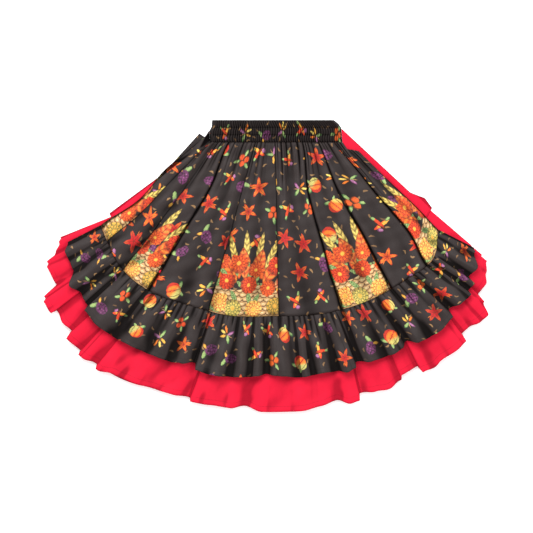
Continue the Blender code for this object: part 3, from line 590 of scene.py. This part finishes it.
def ruffle_maps(bearings, down, depth, scale):
    """The cut map and the edges map of a ruffle, which has no side seam, and the width of its cut."""
    across = np.repeat(np.radians(bearings)[None] * scale, len(down), axis=0)
    cut = (across, np.repeat(down[:, None] * depth, len(bearings), axis=1))
    return cut, (np.full_like(across, 1.0), depth - cut[1]), float(across[0, -1] - across[0, 0])


def front_ruffle(name, hem, heads, seam_reach, strips, step, rise_at, level, depth, look):
    keys, reaches, folds = (np.array([row[i] for row in hem]) for i in range(3))
    ends = (keys[0], keys[-1])
    down = even(FRONT_RUFFLE_ROWS)
    for number, (first, last) in enumerate(zip(strips, strips[1:]), 1):
        bearings = finer(columns_between([k for k in keys if first <= k <= last], step), FINE)
        reach_at = eased(keys, reaches, bearings, crisp=True)
        spots, head = ruffle_grid(bearings, down, ends, heads, seam_reach, reach_at)
        reach = np.hypot(spots[..., 0], spots[..., 1])
        fold = eased(keys, folds, bearings, crisp=True)
        rise = rise_at(down[:, None], fold[None], head[None], reach)
        cut, edges, width = ruffle_maps(bearings, down, depth, RUFFLE_CUT)
        rise = rise + soft_waves(spots, RUFFLE_WAVE_SEED + level) + 0.6 * seam_dip(cut[1])
        height = beds(spots)[level] + np.maximum(CLOTH + rise, LEAST_RISE)
        piece = cloth(f"{name}_{number}", spots, height, cut, edges, look)


def print_ruffle_rise(t, fold, head, reach):
    seam_along = np.radians(head) * PRINT_BACK_SEAM_REACH
    small = gathers(seam_along, t * PRINT_RUFFLE_DEPTH, RUFFLE_GATHER_PITCH, PRINT_RUFFLE_SEED,
                    RUFFLE_GATHER_LENGTH)
    return gore_fold_rise(head, 1.0) * (1 - t) ** 2 + GATHER_RISE * small + PRINT_HEM_RISE * fold * t**0.8


def red_ruffle_rise(t, fold, head, reach):
    from_hem = np.broadcast_to((1 - t) * RED_RUFFLE_DEPTH, reach.shape)
    along_hem = np.radians(head) * float(reach.max())
    small = gathers(along_hem, from_hem, RED_CREASE_PITCH, RED_RUFFLE_SEED, RED_CREASE_LENGTH)
    return straight(RED_FRONT_RISE, reach) * fold + RED_CREASE_RISE * small


def back_ruffle(name, hem, heads, seam_reach, waves, rise_table, level, depth, look):
    ends = (hem[0][0], hem[-1][0])
    bearings = np.linspace(*ends, POINTS_PER_WAVE * waves + 1)
    down = even(BACK_RUFFLE_ROWS)
    spots, _ = ruffle_grid(bearings, down, ends, heads, seam_reach, curved(hem, bearings))
    wave = 0.5 - 0.5 * np.cos(math.tau * waves * even(len(bearings)))
    reach = np.hypot(spots[..., 0], spots[..., 1])
    height = beds(spots)[level] + CLOTH + straight(rise_table, reach) * wave[None]
    cut, edges, width = ruffle_maps(bearings, down, depth, BACK_RUFFLE_CUT)
    piece = cloth(name, spots, height, cut, edges, look)


def red_panel(name, top_edge, inset, right_bow, level, rise_table, look):
    corners = np.array(top_edge)
    runs = np.linalg.norm(np.diff(corners, axis=0), axis=1)
    marks = np.concatenate([[0.0], np.cumsum(runs)]) / runs.sum()
    turn = math.degrees(inset / red_seam_reach(90.0))
    first, last = RED_PANEL_BEARINGS[1] - turn, RED_PANEL_BEARINGS[0] + turn
    shares = np.unique(np.concatenate([marks, even(RED_PANEL_GRID[0])]))
    down = even(RED_PANEL_GRID[1])
    top = np.stack([np.interp(shares, marks, corners[:, axis]) for axis in (0, 1)], axis=-1)[None]
    bearings = first + (last - first) * shares
    foot = polar(bearings, red_seam_reach(bearings))[None]
    bow = straight(right_bow, down)[:, None] * shares[None] ** 4
    bow = bow[..., None] * np.array(RED_RIGHT_OUTWARD)
    spots = top + (foot - top) * down[:, None, None] + bow
    reach = np.hypot(spots[..., 0], spots[..., 1])
    wave = 0.5 + 0.5 * np.cos(math.tau * RED_PANEL_WAVES * shares)[None]
    height = beds(spots)[level] + CLOTH + straight(rise_table, reach) * wave
    width = RED_PANEL_TOP + (RED_PANEL_FOOT - RED_PANEL_TOP) * down[:, None]
    across = shares[None] * width
    depth = np.repeat(down[:, None] * RED_PANEL_LENGTH, len(shares), axis=1)
    edges = (np.minimum(shares, 1 - shares)[None] * width, RED_PANEL_LENGTH - depth)
    piece = cloth(name, spots, height, (across, depth), edges, look)


def waistband(look):
    """The shirred band: fine upright ribs pinched by the rows of stitches, round at both ends."""
    level = BAND_CLOTH * 2 + BAND_INSIDE_GAP
    down = np.linspace(0, BAND_DEPTH, BAND_ROWS)
    left, right = straight(BAND_LEFT_END, down)[:, None], straight(BAND_RIGHT_END, down)[:, None]
    turn = even(BAND_TURN_STEPS)[None]
    start, end = left + BAND_END_ROUND, right - BAND_END_ROUND
    shares = even(BAND_RIBS * POINTS_PER_RIB + 1)[None]
    chance = np.random.default_rng(BAND_SEED)
    sway = np.interp(shares, even(20), chance.uniform(-0.45, 0.45, 20))
    strength = np.interp(shares, even(37), chance.uniform(0.45, 1.0, 37))
    channel = np.abs(np.sin(np.pi * BAND_CHANNELS * down / BAND_DEPTH))[:, None] ** 0.6
    shift = BAND_RIBS * shares + sway + 0.35 * np.sin(9 * down[:, None] / BAND_DEPTH)
    ribs = (0.5 + 0.5 * np.cos(math.tau * shift)) ** 0.7
    top = level - BAND_SINK + BAND_CHANNEL_RISE * channel
    top = top + BAND_RIB_RISE * strength * ribs * (0.45 + 0.55 * channel)
    up = BAND_CLOTH + (level - BAND_CLOTH) * np.sin(np.pi / 2 * turn) ** 1.4
    x = np.concatenate([left + BAND_END_ROUND * turn[:, :-1], start + (end - start) * shares,
                        right - BAND_END_ROUND * turn[:, -2::-1]], axis=1)
    height = np.concatenate([up[:, :-1] + 0 * left, top, up[:, -2::-1] + 0 * left], axis=1)
    below = np.broadcast_to(down[:, None], x.shape)
    spots = np.stack([x, below], axis=-1)
    cut = (x * BAND_FULLNESS, below)
    edges = (np.full_like(x, 1.0), BAND_DEPTH - cut[1])
    # Painted shade along the rows of stitches, where the channels dip.
    stitch_shade = BAND_STITCH_SHADE * (1.0 - np.broadcast_to(channel, x.shape))
    piece = cloth("waistband_front", spots, height, cut, edges, look, BAND_SHEET, 5, stitch_shade)
    spots = spots[::BAND_BACK_THIN, ::POINTS_PER_RIB]
    start, end = start[::BAND_BACK_THIN] + BAND_BACK_INSET, end[::BAND_BACK_THIN] - BAND_BACK_INSET
    x = np.clip(spots[..., 0], start, end)
    spots = np.stack([x, spots[..., 1]], axis=-1)
    keep = slice(1, -1)
    flat = np.full_like(x, BAND_CLOTH)[:, keep]
    cut = ((x * BAND_FULLNESS + BAND_BACK_JUMP)[:, keep], spots[:, keep, 1])
    edges = (flat + 1, flat + 1)
    piece = cloth("waistband_back", spots[:, keep], flat, cut, edges, look, BAND_SHEET)


# Materials. Num stands for a number or vector worked out by nodes, so that patterns read as sums.
class Num:
    def __init__(self, tree, socket):
        self.tree, self.socket = tree, socket

    def __add__(self, other):
        return calc("ADD", self, other)

    def __radd__(self, other):
        return calc("ADD", other, self)

    def __sub__(self, other):
        return calc("SUBTRACT", self, other)

    def __rsub__(self, other):
        return calc("SUBTRACT", other, self)

    def __mul__(self, other):
        return calc("MULTIPLY", self, other)

    def __rmul__(self, other):
        return calc("MULTIPLY", other, self)

    def __truediv__(self, other):
        return calc("DIVIDE", self, other)


def feed(target, source):
    if isinstance(source, Num):
        source.tree.links.new(source.socket, target)
    else:
        target.default_value = source


def fed(node, **inputs):
    """The node with some of its inputs fed. A low line in a name stands for a space."""
    for name, source in inputs.items():
        feed(node.inputs[name.replace("_", " ")], source)
    return node


def added(tree, kind, **inputs):
    return fed(tree.nodes.new("ShaderNode" + kind), **inputs)


def calc(operation, *inputs, kind="Math", out=0):
    tree = next(i.tree for i in inputs if isinstance(i, Num))
    node = added(tree, kind)
    node.operation = operation
    for target, source in zip(node.inputs, inputs):
        feed(target, source)
    return Num(tree, node.outputs[out])


floor, fract, sine, absolute = (partial(calc, name) for name in ("FLOOR", "FRACT", "SINE", "ABSOLUTE"))


def vector(operation, *inputs):
    out = "Value" if operation in ("LENGTH", "DOT_PRODUCT") else "Vector"
    return calc(operation, *inputs, kind="VectorMath", out=out)


def split(value):
    node = added(value.tree, "SeparateXYZ", Vector=value)
    return [Num(value.tree, out) for out in node.outputs]


def channels(value):
    """The red, green and blue of a colour."""
    node = added(value.tree, "SeparateColor", Color=value)
    return [Num(value.tree, out) for out in node.outputs]


def joined(x, y, z=0.0):
    node = added(x.tree, "CombineXYZ", X=x, Y=y, Z=z)
    return Num(x.tree, node.outputs[0])


def step(value, low, high):
    """0 below low, 1 above high, smooth between them. With low above high it falls from 1 to 0."""
    node = added(value.tree, "MapRange", Value=value, From_Min=low, From_Max=high)
    node.interpolation_type = "SMOOTHSTEP"
    return Num(value.tree, node.outputs[0])


def between(a, b, share):
    """A colour between two others."""
    node = added(share.tree, "Mix")
    node.data_type = "RGBA"
    feed(node.inputs[0], share)
    for target, source in ((node.inputs[6], a), (node.inputs[7], b)):
        feed(target, source if isinstance(source, Num) else (*source, 1.0))
    return Num(share.tree, node.outputs[2])


def chances(at, seed):
    """Three random numbers for each whole place."""
    node = added(at.tree, "TexWhiteNoise", Vector=vector("ADD", at, (seed, seed * 0.7, seed * 1.3)))
    return channels(Num(at.tree, node.outputs["Color"]))


def noise(at, scale, detail=2.0, out=0):
    node = added(at.tree, "TexNoise", Vector=at, Scale=scale, Detail=detail)
    return Num(at.tree, node.outputs[out])


class Place:
    """A place on the cloth: its two parts, and both as a vector."""

    def __init__(self, x, y):
        self.tree, self.x, self.y = x.tree, x, y
        self.vector = joined(x, y)

    def seen_from(self, spot, size, turn=0.0):
        """The place as seen from a shape: the shape's centre is at 0 and its rim is 1 away."""
        angle = math.radians(turn)
        off = vector("SUBTRACT", self.vector, (*spot, 0.0))
        x_way = (math.cos(angle) / size[0], math.sin(angle) / size[0], 0.0)
        y_way = (-math.sin(angle) / size[1], math.cos(angle) / size[1], 0.0)
        return Place(vector("DOT_PRODUCT", off, x_way), vector("DOT_PRODUCT", off, y_way))

    def turned(self, angle):
        along, across = calc("COSINE", angle), sine(angle)
        return Place(self.x * along - self.y * across, self.x * across + self.y * along)

    def scaled(self, factor):
        return Place(self.x * factor, self.y * factor)

    def brushed(self, scale, strength):
        """The place, pushed about a little, so that drawn edges look brushed."""
        a, b, _ = channels(noise(self.vector, scale, 1.0, "Color"))
        return Place(self.x + (a - 0.5) * strength, self.y + (b - 0.5) * strength)

    def reach(self):
        return vector("LENGTH", self.vector)

    def angle(self):
        return calc("ARCTAN2", self.y, self.x)


# Inks of the print, and the painted shade along seams and stitches.
BLACK = (0.0212, 0.0145, 0.0136)
RED = (0.52, 0.014, 0.014)
SCARLET = (0.84, 0.070, 0.020)
ORANGE = (0.95, 0.235, 0.026)
GOLD = (0.95, 0.47, 0.065)
YELLOW = (0.95, 0.70, 0.15)
CREAM = (0.98, 0.79, 0.42)
GREEN = (0.060, 0.150, 0.046)
PALE_GREEN = (0.36, 0.50, 0.17)
PURPLE = (0.15, 0.033, 0.11)
LILAC = (0.46, 0.18, 0.34)
TAN = (0.62, 0.36, 0.15)
BROWN = (0.060, 0.022, 0.011)
SHADOW = (0.004, 0.003, 0.003)
LEAVES = (PALE_GREEN, GREEN)

# Pitches of the weave and of the hem stitches.
WEAVE_PITCH = 0.0006
STITCH_PITCH = 0.0032


class Paint:
    """Dabs of paint on each other, with their colour and how far they cover the cloth."""

    def __init__(self, at):
        self.at = at
        self.colour = BLACK
        self.cover = 0.0

    def lay(self, ink, mask):
        self.colour = between(self.colour, ink, mask)
        self.cover = calc("MAXIMUM", self.cover, mask)

    def dab(self, spot, size, turn, ink, deep):
        """A rounded dab, light at its upper left and dark round its rim."""
        local = self.at.seen_from(spot, size, turn)
        reach = local.reach()
        shade = step(reach + (local.x - local.y) * 0.30, 0.35, 1.10)
        self.lay(between(ink, deep, shade), step(reach, 1.05, 0.93))

    def blossom(self, spot, size, ink, deep):
        """A round flower with rings of pointed petals."""
        local = self.at.seen_from(spot, (size, size))
        reach = local.reach()
        ring = floor(reach * 3.3)
        petal = absolute(sine(local.angle() * 5.5 + ring * 1.9))
        depth = fract(reach * 3.3)
        drawn = between(deep, ink, depth * 0.60 + petal * 0.40)
        drawn = between(drawn, BROWN, step(petal * (1.25 - depth), 0.22, 0.06) * 0.85)
        drawn = between(drawn, BROWN, step(reach + (local.x - local.y) * 0.35, 0.75, 1.30) * 0.6)
        drawn = between(drawn, GOLD, step(reach, 0.22, 0.15))
        self.lay(drawn, step(reach + 0.10 * (1.0 - petal), 1.03, 0.95))

    def feather(self, spot, size, turn, ink, deep):
        """A long leaf with slanting stripes."""
        local = self.at.seen_from(spot, size, turn)
        aside = absolute(local.x)
        stripe = sine(local.y * 17.0 - aside * 5.0) * 0.5 + 0.5
        past_rim = aside + calc("POWER", absolute(local.y), 2.2) - 1.0
        drawn = between(ink, deep, stripe * 0.75)
        dark = calc("MAXIMUM", step(aside, 0.12, 0.03) * 0.6, step(past_rim, -0.30, -0.02) * 0.6)
        self.lay(between(drawn, BROWN, dark), step(past_rim, 0.05, -0.05))


def leaf(at, chance):
    """A leaf with five points and dark veins."""
    paint = Paint(at)
    paint.dab((0.0, -0.75), (0.05, 0.35), 0, ORANGE, BROWN)
    angle, reach = at.angle(), at.reach()
    aside = absolute(sine(angle * 2.5))
    rim = reach - (1.08 - 0.66 * calc("POWER", aside, 1.15))
    ink = between(ORANGE, RED, step(reach * 1.2 - chance * 0.7, 0.9, -0.2))
    ink = between(ink, BROWN, step(aside * reach, 0.10, 0.01) * 0.75)
    ink = between(ink, RED, step(rim, -0.22, -0.05) * 0.8)
    paint.lay(ink, step(rim, 0.04, -0.04))
    return paint


def gourd(at, chance):
    """A round ribbed fruit with a pale cheek, a stalk and leaves."""
    paint = Paint(at)
    paint.dab((0.42, 0.66), (0.42, 0.20), 28, *LEAVES)
    paint.dab((-0.50, 0.55), (0.36, 0.16), -35, *LEAVES)
    local = at.seen_from((0.0, -0.1), (0.90, 0.74))
    reach = local.reach()
    rib = absolute(sine(local.x * 4.6 * (1.0 + 0.35 * local.y * local.y)))
    cheek = step(local.x * -0.8 + local.y * 0.5 + 0.5 * chance, 0.30, 0.75)
    ink = between(SCARLET, ORANGE, rib)
    ink = between(ink, between(YELLOW, PALE_GREEN, chance), cheek * 0.9)
    ink = between(ink, BROWN, step(rib, 0.34, 0.05) * 0.8)
    ink = between(ink, RED, step(reach + 0.3 * local.x, 0.65, 1.10) * 0.9)
    paint.lay(ink, step(reach, 1.04, 0.94))
    return paint


def grapes(at, chance):
    """A bunch of small round fruit under two leaves."""
    paint = Paint(at)
    paint.dab((-0.38, 0.60), (0.54, 0.25), -28, *LEAVES)
    paint.dab((0.44, 0.60), (0.42, 0.17), 35, GOLD, BROWN)
    node = added(at.tree, "TexVoronoi", Vector=at.vector, Scale=3.4, Randomness=0.45)
    apart = Num(at.tree, node.outputs["Distance"])
    bunch = at.seen_from((0.05, -0.18), (0.56, 0.78), 12).reach()
    ink = between(LILAC, PURPLE, step(apart, 0.05, 0.34))
    paint.lay(ink, step(bunch, 1.1, 0.9) * step(apart, 0.68, 0.56))
    return paint


def berries(at, chance):
    """Three round berries on leaves."""
    paint = Paint(at)
    for spot, turn in (((-0.10, -0.72), 80), ((0.70, 0.30), 20), ((-0.66, 0.44), -40)):
        paint.dab(spot, (0.40, 0.17), turn, *LEAVES)
    ripe = between(SCARLET, ORANGE, chance * 0.7)
    for spot in ((-0.36, -0.12), (0.34, -0.20), (0.02, 0.36)):
        paint.dab(spot, (0.38, 0.36), 0, ripe, BROWN)
    return paint


def peppers(at, chance):
    """Two crossed pods, a seed head and a leaf."""
    paint = Paint(at)
    paint.dab((-0.10, -0.05), (0.20, 0.85), 48, GOLD, SCARLET)
    paint.dab((0.12, 0.05), (0.19, 0.80), -38, SCARLET, BROWN)
    paint.dab((0.56, 0.58), (0.22, 0.14), 50, *LEAVES)
    paint.dab((-0.62, 0.52), (0.28, 0.15), -48, *LEAVES)
    paint.dab((0.05, -0.66), (0.26, 0.20), 0, LILAC, PURPLE)
    return paint


def sprig(at, chance):
    """A stalk with seed heads and leaves."""
    paint = Paint(at)
    paint.dab((0.0, -0.35), (0.045, 0.6), 6, TAN, BROWN)
    heads = (((-0.32, 0.30), 38, GOLD), ((0.36, 0.34), -36, ORANGE), ((0.02, 0.55), 4, YELLOW))
    for spot, turn, ink in heads:
        paint.dab(spot, (0.15, 0.44), turn, ink, BROWN)
    paint.dab((-0.32, -0.42), (0.17, 0.46), -44, *LEAVES)
    paint.dab((0.32, -0.36), (0.16, 0.42), 48, LILAC, PURPLE)
    return paint


def cells(at, size, seed, stagger, spread):
    """Splits the cloth into cells. Gives the place in each from a shifted, turned centre, its chances
    and the row."""
    row = floor(at.y / size)
    x = at.x / size + stagger * calc("MODULO", absolute(row), 2.0)
    whole = joined(floor(x), row)
    a, b, c = chances(whole, seed)
    shift_x, shift_y = (a - 0.5) * spread + 0.5, (b - 0.5) * spread + 0.5
    local = Place(fract(x) - shift_x, fract(at.y / size) - shift_y)
    return local.turned(c * math.tau), chances(whole, seed + 17.3), row


def scattered(cloth_at):
    """The print away from the border: small brown flecks between harvest fruit and leaves."""
    ground = between(BLACK, tuple(1.35 * c for c in BLACK), noise(cloth_at.vector, 900.0))
    at = cloth_at.brushed(190.0, 0.0035)
    local, (kind, tint, _), _ = cells(at, 0.031, 3.0, 0.37, 0.60)
    bent = Place(local.x, local.y + local.x * local.x * 1.6 - 0.02).seen_from((0.0, 0.0), (0.175, 0.062))
    fleck = step(bent.reach(), 1.25, 0.75) * step(kind, 0.16, 0.18)
    ground = between(ground, between(BROWN, TAN, 0.18 + tint * 0.35), fleck)
    local, (kind, tint, size), _ = cells(at, 0.064, 11.0, 0.5, 0.36)
    local = local.scaled(3.3 - 0.6 * size)
    shapes = (leaf, gourd, grapes, berries, peppers, sprig)
    for i, shape in enumerate(shapes):
        paint = shape(local, tint)
        low, high = i / len(shapes), (i + 1) / len(shapes)
        chosen = step(kind, high, high - 0.001)
        if i:
            chosen = chosen * step(kind, low - 0.001, low)
        ground = between(ground, paint.colour, paint.cover * chosen)
    return ground


def brushwork(place, colour):
    """The colour with fine dark strokes in it, like small painted detail."""
    return between(BLACK, colour, 0.62 + 0.38 * step(noise(place.vector, 430.0, 1.0), 0.28, 0.60))


def fan(at, spot, turn, leaf_size, start, ink, deep):
    """Long leaves that spread from one spot. The print repeats one leaf round it."""
    seen = at.seen_from(spot, (1.0, 1.0))
    angle = calc("ARCTAN2", seen.x, seen.y)
    sector = angle / math.radians(turn)
    chance, _, _ = chances(joined(floor(sector), 0.5), 7.0)
    reach = seen.reach()
    across = (fract(sector) - 0.5) * reach * math.radians(turn)
    along = reach - start - 0.014 * chance
    paint = Paint(Place(across, along))
    paint.feather((0.0, 0.0), leaf_size, 0, between(ink, CREAM, chance * 0.4), deep)
    return paint


def border(cloth_at):
    """The panel at the foot of every second gore: flowers and long leaves over rows of tan scallops. It
    is cut off by the seams at its sides."""
    at = cloth_at.brushed(120.0, 0.0035)
    paint = fan(at, (0.004, 0.020), 14.0, (0.0075, 0.040), 0.128, YELLOW, BROWN)
    near = fan(at, (0.004, 0.020), 21.0, (0.015, 0.036), 0.094, ORANGE, RED)
    paint.lay(near.colour, near.cover)
    paint.at = at
    row = floor(at.y / 0.0095)
    across = fract(at.x / 0.0165 + 0.5 * calc("MODULO", row, 2.0)) - 0.5
    arc = Place(across, (fract(at.y / 0.0095) - 1.0) * 0.75).reach()
    ink = between(CREAM, TAN, step(arc, -0.10, 0.46))
    ink = between(ink, BROWN, step(absolute(arc - 0.52), 0.13, 0.03) * 0.85)
    top = 0.062 + 0.007 * sine(at.x * 58.0)
    paint.lay(ink, step(at.y - top, 0.0008, -0.0008))
    local, (kind, _, _), row = cells(at, 0.027, 5.0, 0.5, 0.5)
    small = Paint(local)
    small.feather((0.0, 0.0), (0.20, 0.62), 0, *LEAVES)
    paint.lay(small.colour, small.cover * step(row, 4.5, 4.4) * step(kind, 0.45, 0.46))
    local, (kind, tint, size), row = cells(at, 0.044, 9.0, 0.5, 0.42)
    flower = Paint(local.scaled(2.3 - 0.5 * size))
    low = step(row, 0.6, 0.4)
    ink = between(between(SCARLET, ORANGE, tint * 0.7), between(GOLD, YELLOW, tint), low)
    deep = between(RED, between(GREEN, SCARLET, step(kind, 0.5, 0.51)), low)
    flower.blossom((0.0, 0.0), 1.0, ink, deep)
    paint.lay(flower.colour, flower.cover * step(row, 2.5, 2.4) * step(kind, 0.12, 0.13))
    return paint


def mapped(tree, name):
    node = added(tree, "UVMap")
    node.uv_map = name
    return Num(tree, node.outputs[0])


def cloth_look(name, slot, colour_of, shades, rough=0.55, gloss=0.22, hem_line=0.0):
    """The material of a cloth and its slot. Its colour comes from colour_of, with painted light on its
    crests and painted shade in its hollows, creases, seams and hem stitches. Its weave, puckers and hem
    stitches are in the bump."""
    made = bpy.data.materials.new(name)
    made.use_nodes = True
    tree = made.node_tree
    shader = tree.nodes["Principled BSDF"]
    u, v, _ = split(mapped(tree, "cut"))
    cut = Place(u, v)
    to_seam, to_hem, _ = split(mapped(tree, "edges"))
    wide, narrow, _ = split(mapped(tree, "painted_shade_depth"))
    colour = colour_of(cut, to_hem)
    # Painted shade: the colour is darkened towards SHADOW along the side seams and along the hem
    # stitches.
    dark = step(to_seam, 0.0020, 0.0006) * 0.65
    off_line = absolute(to_hem - hem_line)
    stitch = step(off_line, 0.0007, 0.0002) * step(sine(u * math.tau / STITCH_PITCH), -0.5, 0.2)
    dark = calc("MAXIMUM", dark, stitch * 0.5)
    colour = between(colour, SHADOW, dark)
    # Painted light and shade: the colour and the gloss take the crest tone on crests and darken towards
    # the hollow and crease tones in broad hollows and sharp creases.
    crest, hollow, crease = shades
    # Broad random mottling of the colour and the gloss, in soft patches.
    mottle = 0.84 + 0.32 * noise(cut.vector, 26.0, 3.0)
    shade = mottle * (crest - (crest - hollow) * step(wide, -1.5, 1.6))
    shade = shade * (1.0 - (1.0 - crease) * step(narrow, 0.02, 0.58))
    colour = vector("MULTIPLY", colour, joined(shade, shade, shade))
    fed(shader, Base_Color=colour, Roughness=rough, Sheen_Weight=0.02, Sheen_Roughness=0.45,
        Specular_IOR_Level=gloss * shade)
    weave = sine(u * math.tau / WEAVE_PITCH) * sine(v * math.tau / WEAVE_PITCH)
    pucker = noise(vector("MULTIPLY", cut.vector, (1.0, 0.30, 1.0)), 90.0, 2.0)
    height = pucker * 0.8 + weave * 0.06 - stitch * 0.5
    bump = added(tree, "Bump", Strength=0.35, Distance=0.0012, Height=height)
    fed(shader, Normal=Num(tree, bump.outputs[0]))
    return made, slot


def plain_print(cut, to_hem):
    return brushwork(cut, scattered(cut))


def border_print(cut, to_hem):
    """The panel's own place: across from the gore's middle line and up from its foot."""
    across = fract(cut.x / PRINT_JUMP + 0.5) * PRINT_JUMP - PRINT_JUMP / 2
    ground = scattered(cut)
    panel = border(Place(across, to_hem))
    return brushwork(cut, between(ground, panel.colour, panel.cover))


def red_dye(cut, to_hem):
    return between(RED_DYE, tuple(1.12 * c for c in RED_DYE), noise(cut.vector, 9.0))


def studio():
    """A plain pale floor under soft light, and the camera straight above, as in the photograph."""
    mesh = bpy.data.meshes.new("floor")
    ways = ((-1, -1), (1, -1), (1, 1), (-1, 1))
    corners = [(x * FLOOR_SIDE, y * FLOOR_SIDE, -FLOOR_DEPTH) for x, y in ways]
    mesh.from_pydata(corners, [], [(0, 1, 2, 3)])
    ground = placed("floor", mesh)
    white = bpy.data.materials.new("floor_white")
    white.use_nodes = True
    fed(white.node_tree.nodes["Principled BSDF"], Base_Color=(0.96, 0.96, 0.96, 1.0), Roughness=0.9,
        Emission_Strength=FLOOR_GLOW)
    mesh.materials.append(white)
    world = bpy.data.worlds.new("studio")
    world.use_nodes = True
    fed(world.node_tree.nodes["Background"], Color=(1.0, 1.0, 1.0, 1.0), Strength=WORLD_LIGHT)
    bpy.context.scene.world = world
    for name, place, size, power in LAMPS:
        light = bpy.data.lights.new(name, "AREA")
        light.size = size
        light.energy = power
        lamp = placed(name, light)
        lamp.location = place
        aim = math.hypot(place[0], place[1])
        lamp.rotation_euler = (math.atan2(aim, place[2]), 0.0, math.atan2(place[0], -place[1]))
    camera = placed("camera", bpy.data.cameras.new("camera"))
    camera.location = (0.0, -CAMERA_DOWN, CAMERA_HEIGHT)
    camera.data.sensor_width = CAMERA_SENSOR
    camera.data.lens = CAMERA_CLOSER * CAMERA_SENSOR * (CAMERA_HEIGHT - FRAME_LEVEL) / FRAME_WIDTH
    bpy.context.scene.camera = camera
    bpy.context.scene.view_settings.view_transform = "Standard"


studio()
# The band and ruffle copies of the print cloth differ from it in their painted light and shade, and in
# gloss or hem stitches.
plain = cloth_look("print_cloth", "print_cloth", plain_print, PRINT_SHADES)
bordered = cloth_look("border_print_cloth", "border_print_cloth", border_print, PRINT_SHADES)
banded = cloth_look("band_print_cloth", "print_cloth", plain_print, BAND_SHADES, gloss=0.18)
ruffled = cloth_look("ruffle_print_cloth", "print_cloth", plain_print, RUFFLE_SHADES, hem_line=0.011)
red = cloth_look("red_cloth", "red_cloth", red_dye, RED_SHADES, rough=0.65, gloss=0.10, hem_line=0.012)
finishes = {"plain": plain, "border": bordered}

waistband(banded)
front_gores(finishes)
back_gores(finishes)
front_ruffle("print_ruffle_front", PRINT_HEM, PRINT_HEAD_BEARINGS, print_seam_reach, PRINT_STRIPS,
             PRINT_RUFFLE_STEP, print_ruffle_rise, PRINT_FRONT, PRINT_RUFFLE_DEPTH, ruffled)
front_ruffle("red_ruffle_front", RED_HEM, RED_HEAD_BEARINGS, red_seam_reach, RED_STRIPS,
             RED_RUFFLE_STEP, red_ruffle_rise, RED_FRONT, RED_RUFFLE_DEPTH, red)
turn = math.degrees(RED_FOLD_WIDTH / red_seam_reach(90.0))
back_heads = (BACK_SEAMS[-1].bearing, BACK_SEAMS[0].bearing)
back_ruffle("print_ruffle_back", PRINT_BACK_HEM, back_heads, print_back_seam_reach, PRINT_BACK_WAVES,
            PRINT_BACK_RISE, PRINT_BACK, PRINT_BACK_RUFFLE_DEPTH, ruffled)
red_heads = (RED_HEAD_BEARINGS[0] + turn, RED_HEAD_BEARINGS[1] - turn)
back_ruffle("red_ruffle_back", RED_BACK_HEM, red_heads, red_seam_reach, RED_BACK_WAVES, RED_BACK_RISE,
            RED_BACK, RED_RUFFLE_DEPTH, red)
red_panel("red_panel_front", RED_TOP_EDGE, 0.0, RED_RIGHT_BOW, RED_FRONT, RED_FRONT_RISE, red)
red_panel("red_panel_back", RED_BACK_TOP_EDGE, RED_FOLD_WIDTH, STRAIGHT_SIDE, RED_BACK, RED_BACK_RISE,
          red)
